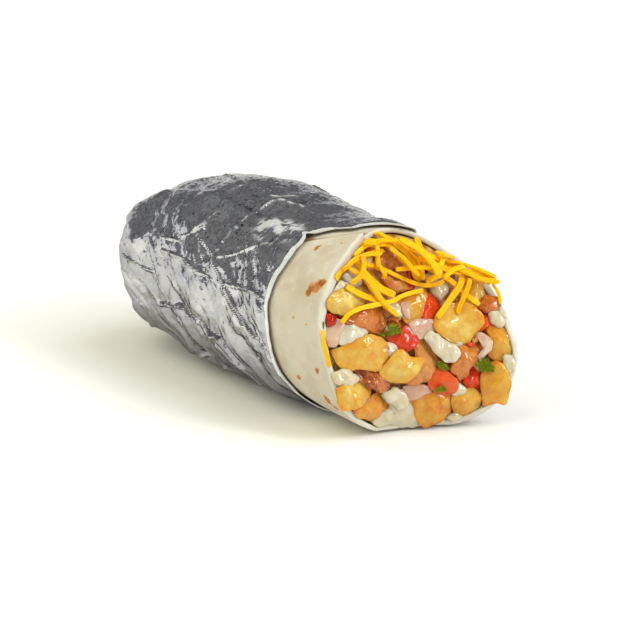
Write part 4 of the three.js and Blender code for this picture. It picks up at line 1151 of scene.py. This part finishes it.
def tortilla_material():
    n = Nodes("tortilla_flour")
    patchy = n.noise(4.5, 4.0, 0.55)
    base = n.mix(n.band(n.noise(16.0, 3.0), 0.35, 0.66), (0.500, 0.437, 0.332), (0.580, 0.530, 0.430))
    base = n.mix(n.band(patchy, 0.52, 0.72, 0.0, 0.45), base, (0.645, 0.60, 0.50))
    base = n.specks(base, 6.5, 0.0, 0.16, 0.38, (0.60, 0.42, 0.22))
    toast = n.math("MULTIPLY", n.mark("toast"), n.band(n.noise(0.9, 3.0), 0.25, 0.6, 0.55, 1.15))
    browned = n.ramp(toast, [(0.0, (0.68, 0.50, 0.29)), (0.38, (0.50, 0.20, 0.05)),
                             (1.0, (0.26, 0.085, 0.02))])
    base = n.mix(n.band(toast, 0.03, 0.30), base, browned)
    # Painted shade along the seam: the seam mark turns the overlap brown behind the flap's edge.
    base = n.mix(n.math("MULTIPLY", n.mark("seam"), 0.95), base, (0.26, 0.155, 0.07))
    base = n.mix(n.math("MULTIPLY", n.mark("rim"), 0.75), base, (0.65, 0.63, 0.545))
    bumps = [((5.5, 4.0, 0.55), 0.45), ((1.3, 4.0, 0.6), 0.35), ((0.4, 2.0), 0.15)]
    return n.food(base, n.band(patchy, 0.3, 0.7, 0.62, 0.78), (0.35, 2.2, (1.0, 0.72, 0.42)), bumps, 0.5,
                  Specular_IOR_Level=0.35)


def potato_material():
    n = Nodes("potato_fried")
    tone = n.math("ADD", n.mark("tone"), n.uneven(-0.16, 0.2, 3.2, 4.0, 0.6))
    base = n.ramp(tone, [(0.0, (0.71, 0.52, 0.135)), (0.28, (0.63, 0.38, 0.05)), (0.55, (0.63, 0.30, 0.022)),
                         (0.8, (0.58, 0.19, 0.010)), (1.0, (0.40, 0.10, 0.006))])
    base = n.specks(base, 2.8, 3.0, 0.13, 0.35, (0.50, 0.24, 0.05))
    return n.food(base, n.uneven(0.30, 0.50, 2.0, 3.0), (0.45, 2.6, (1.0, 0.62, 0.12)),
                  [((2.4, 4.0, 0.6), 0.45), ((0.9, 4.0, 0.6), 0.38)], 0.4,
                  Specular_IOR_Level=0.2, Coat_Weight=0.6, Coat_Roughness=0.08)


def chicken_material():
    n = Nodes("chicken_glazed")
    tone = n.math("ADD", n.mark("tone"), n.band(n.noise(2.6, 5.0, 0.65), 0.28, 0.72, -0.28, 0.3))
    base = n.ramp(tone, [(0.0, (0.59, 0.25, 0.060)), (0.3, (0.55, 0.18, 0.024)), (0.55, (0.54, 0.155, 0.015)),
                         (0.8, (0.42, 0.10, 0.010)), (1.0, (0.24, 0.05, 0.006))])
    base = n.specks(base, 1.9, 7.0, 0.11, 0.75, (0.10, 0.045, 0.02))
    return n.food(base, n.uneven(0.20, 0.42, 1.4, 3.0), (0.3, 1.8, (1.0, 0.4, 0.1)),
                  [((1.8, 5.0, 0.65), 0.8), ((0.7, 3.0), 0.45)], 0.5,
                  Specular_IOR_Level=0.2, Coat_Weight=0.9, Coat_Roughness=0.06)


def tomato_material():
    n = Nodes("tomato_flesh")
    tone = n.math("ADD", n.mark("tone"), n.uneven(-0.2, 0.2, 2.8, 3.0))
    base = n.ramp(tone, [(0.0, (0.67, 0.115, 0.025)), (0.35, (0.62, 0.046, 0.006)),
                         (0.7, (0.55, 0.022, 0.004)), (1.0, (0.30, 0.010, 0.003))])
    return n.food(base, n.uneven(0.16, 0.30, 1.5, 2.0), (0.4, 2.4, (1.0, 0.14, 0.03)),
                  [((2.2, 3.0), 0.3), ((0.6, 2.0), 0.12)], 0.4,
                  Specular_IOR_Level=0.15, Coat_Weight=0.45, Coat_Roughness=0.06)


def onion_material():
    n = Nodes("onion_dice")
    tone = n.math("ADD", n.mark("tone"), n.uneven(-0.2, 0.25, 3.0, 3.0, stretch=(1, 0.4, 1)))
    base = n.ramp(tone, [(0.0, (0.67, 0.525, 0.395)), (0.5, (0.585, 0.375, 0.265)),
                         (1.0, (0.52, 0.25, 0.18))])
    return n.food(base, n.uneven(0.16, 0.32, 1.5, 2.0), (0.6, 3.0, (1.0, 0.7, 0.5)),
                  [((2.0, 3.0, 0.5, (1, 0.35, 1)), 0.25), ((0.6, 2.0), 0.1)], 0.35,
                  Specular_IOR_Level=0.25, Coat_Weight=0.45, Coat_Roughness=0.07)


def sauce_material():
    n = Nodes("cream_sauce")
    tone = n.math("ADD", n.mark("tone"), n.band(n.noise(3.4, 3.0), 0.35, 0.7, -0.2, 0.25))
    base = n.ramp(tone, [(0.0, (0.61, 0.555, 0.41)), (0.5, (0.57, 0.49, 0.31)), (1.0, (0.46, 0.33, 0.12))])
    spots = n.cells(4.2, shift=5.0)
    some = n.band(n.noise(6.0, 2.0, shift=2.0), 0.48, 0.58)
    base = n.mix(n.math("MULTIPLY", n.band(spots, 0.05, 0.26, 0.72, 0.0), some), base, (0.36, 0.42, 0.07))
    return n.food(base, n.uneven(0.12, 0.24, 2.4, 2.0), (0.5, 2.4, (1.0, 0.85, 0.6)),
                  [((2.6, 3.0), 0.22), (spots, 0.12)], 0.4,
                  Specular_IOR_Level=0.3, Coat_Weight=0.9, Coat_Roughness=0.05)


def leaf_material():
    n = Nodes("herb_leaf")
    tone = n.math("ADD", n.mark("tone"), n.uneven(-0.25, 0.25, 1.2, 3.0))
    base = n.ramp(tone, [(0.0, (0.05, 0.065, 0.001)), (0.5, (0.12, 0.135, 0.002)),
                         (1.0, (0.23, 0.235, 0.008))])
    return n.food(base, n.uneven(0.30, 0.5, 0.8, 2.0), (0.25, 0.6, (0.7, 1.0, 0.1)),
                  [(n.cells(1.1, "DISTANCE_TO_EDGE"), 0.5), ((0.4, 2.0), 0.2)], 0.2, Specular_IOR_Level=0.08)


def cheese_material():
    n = Nodes("cheese_shredded")
    # The tone mark paints the shred's narrow edges lighter than its broad faces, a painted difference of
    # light.
    edge, spread = n.math("MULTIPLY", n.mark("tone"), 0.35), n.math("MULTIPLY", n.mark("spread"), 0.45)
    tone = n.math("ADD", n.math("ADD", edge, spread), n.uneven(-0.12, 0.14, 1.6, 3.0))
    base = n.ramp(tone, [(0.0, (0.87, 0.38, 0.003)), (0.4, (0.94, 0.49, 0.004)), (1.0, (0.96, 0.61, 0.018))])
    return n.food(base, n.uneven(0.34, 0.50, 1.0, 2.0), (0.5, 1.6, (1.0, 0.6, 0.03)),
                  [((1.1, 3.0), 0.3), ((0.35, 2.0), 0.15)], 0.25, Specular_IOR_Level=0.15)


def core_material():
    n = Nodes("filling_mix_and_painted_shade")
    # The darkest reds and browns are partly painted shade for the gaps between the pieces; the paler stops
    # are sauce and cheese.
    base = n.ramp(n.noise(5.0, 4.0, 0.6), [(0.3, (0.26, 0.06, 0.006)), (0.44, (0.52, 0.20, 0.022)),
                                           (0.53, (0.68, 0.42, 0.10)), (0.66, (0.74, 0.65, 0.42))])
    return n.food(base, n.uneven(0.25, 0.45, 2.0, 2.0), (0.3, 2.0, (1.0, 0.5, 0.2)),
                  [((2.4, 5.0, 0.6), 0.7), ((0.6, 3.0), 0.3)], 0.7, Coat_Weight=0.3, Coat_Roughness=0.15)


# The object.
foil = make_foil(foil_material())
tortilla = make_tortilla(tortilla_material())
core = make_core(core_material())
# Kinds: name, outlines, material, first seed, depth, relief, flat cuts, and how the tone falls at the rim.
kinds = [
    ("potato_pieces", POTATO, potato_material(), 100, 5.5,
     [(0.40, 5.5, "soft"), (0.42, 4.2, "facet"), (0.16, 1.7, "facet"), (0.06, 0.8, "soft")], 4, 0.28),
    ("chicken_pieces", CHICKEN, chicken_material(), 200, 5.0,
     [(0.60, 4.5, "ridge"), (0.45, 2.4, "fibre"), (0.22, 1.1, "facet")], 3, 0.2),
    ("tomato_dice", TOMATO, tomato_material(), 300, 4.0,
     [(0.18, 4.0, "soft"), (0.12, 2.6, "facet"), (0.05, 1.2, "soft")], 3, 0.1),
    ("onion_dice", ONION, onion_material(), 400, 3.0,
     [(0.30, 5.0, "soft"), (0.13, 2.0, "soft"), (0.05, 0.9, "soft")], 1, 0.1),
    ("cream_sauce", SAUCE, sauce_material(), 500, 3.5,
     [(0.80, 3.6, "soft"), (0.42, 1.9, "soft"), (0.08, 0.8, "soft")], 0, 0.0),
]
heights = HeightMap()
filling_pieces = []
for kind in kinds:
    made, points = make_kind(*kind)
    heights.add(points)
    filling_pieces.append(made)
leaves = make_leaves(leaf_material())
shreds = make_shreds(cheese_material(), heights)

for piece in [foil, tortilla, core, leaves, shreds, *filling_pieces]:
    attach(piece, "root")
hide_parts("foil")
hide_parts("tortilla")
for piece in [core, leaves, shreds, *filling_pieces]:
    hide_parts("filling")


# Floor, light and camera.
def look_at(thing, place, target):
    thing.location = place
    thing.rotation_mode = "QUATERNION"
    thing.rotation_quaternion = (Vector(target) - Vector(place)).to_track_quat("-Z", "Y")


def direction(azimuth, elevation):
    """A unit vector; azimuth 0 is -Y and 90 is +X."""
    a, e = math.radians(azimuth), math.radians(elevation)
    return Vector((math.sin(a) * math.cos(e), -math.cos(a) * math.cos(e), math.sin(e)))


FLOOR_HALF = 9.0
WORLD_STOPS = [(0.0, 1.0), (0.11, 0.96), (0.19, 0.27), (0.30, 0.12), (0.48, 0.30),
               (0.67, 0.14), (0.84, 0.33), (1.0, 0.16)]
TARGET = Vector((0.009254, 0.000804, 0.0266))
CAMERA_AZIMUTH, CAMERA_ELEVATION, CAMERA_DISTANCE = 54.0, 18.5, 1.9
FRAME_PIXELS, FOCAL_PIXELS, SENSOR = 640, 4960.0, 36.0
CLIP_START, CLIP_END = 0.05, 60
# Suns: name, azimuth, elevation, spread, strength, colour, and whether they show in what shines.
SUNS = (
    ("key", 140, 60, 45, 1.0, (0.92, 0.96, 1.25), False),
    ("overhead", 90, 85, 130, 1.25, (1.0, 0.965, 0.70), False),
    ("near_fill", -25, 44, 70, 1.4, (1.0, 0.97, 0.72), False),
    ("sparkle", 118, 38, 14, 0.9, (1, 1, 1), True),
    ("low_sparkle", 124, 15, 11, 0.4, (1, 1, 1), True),
)


def make_floor():
    mesh = bpy.data.meshes.new("floor")
    corners = [(x * FLOOR_HALF, y * FLOOR_HALF, 0) for x, y in ((-1, -1), (1, -1), (1, 1), (-1, 1))]
    mesh.from_pydata(corners, [], [(0, 1, 2, 3)])
    n = Nodes("floor_pale")
    n.set(Base_Color=n.mix(n.noise(400.0, 2.0), (0.87, 0.87, 0.85), (0.88, 0.88, 0.86)), Roughness=0.75,
          Specular_IOR_Level=0.2)
    mesh.materials.append(n.material)
    return linked(bpy.data.objects.new("floor", mesh))


def make_world():
    """A studio that is bright at the horizon and darker above, by height."""
    world = bpy.data.worlds.new("studio")
    bpy.context.scene.world = world
    world.use_nodes = True
    tree = world.node_tree
    tree.nodes.clear()
    place, split, ramp, background, output = (
        tree.nodes.new("ShaderNode" + kind)
        for kind in ("TexCoord", "SeparateXYZ", "ValToRGB", "Background", "OutputWorld"))
    tree.links.new(place.outputs["Generated"], split.inputs[0])
    tree.links.new(split.outputs["Z"], ramp.inputs["Fac"])
    tree.links.new(ramp.outputs["Color"], background.inputs["Color"])
    tree.links.new(background.outputs["Background"], output.inputs["Surface"])
    fill_ramp(ramp.color_ramp, [(at, (grey, grey, grey)) for at, grey in WORLD_STOPS])


def add_sun(name, azimuth, elevation, spread, strength, colour, glossy):
    lamp = bpy.data.lights.new(name, "SUN")
    lamp.angle = math.radians(spread)
    lamp.energy = strength
    lamp.color = colour
    made = linked(bpy.data.objects.new(name, lamp))
    look_at(made, TARGET + direction(azimuth, elevation), TARGET)
    made.visible_glossy = glossy


def make_camera():
    lens = bpy.data.cameras.new("camera")
    lens.sensor_width = SENSOR
    lens.lens = FOCAL_PIXELS / FRAME_PIXELS * SENSOR
    lens.clip_start, lens.clip_end = CLIP_START, CLIP_END
    camera = linked(bpy.data.objects.new("camera", lens))
    look_at(camera, TARGET + direction(CAMERA_AZIMUTH, CAMERA_ELEVATION) * CAMERA_DISTANCE, TARGET)
    return camera


floor = make_floor()
make_world()
for sun in SUNS:
    add_sun(*sun)
bpy.context.scene.camera = make_camera()
bpy.context.scene.view_settings.view_transform = "Standard"
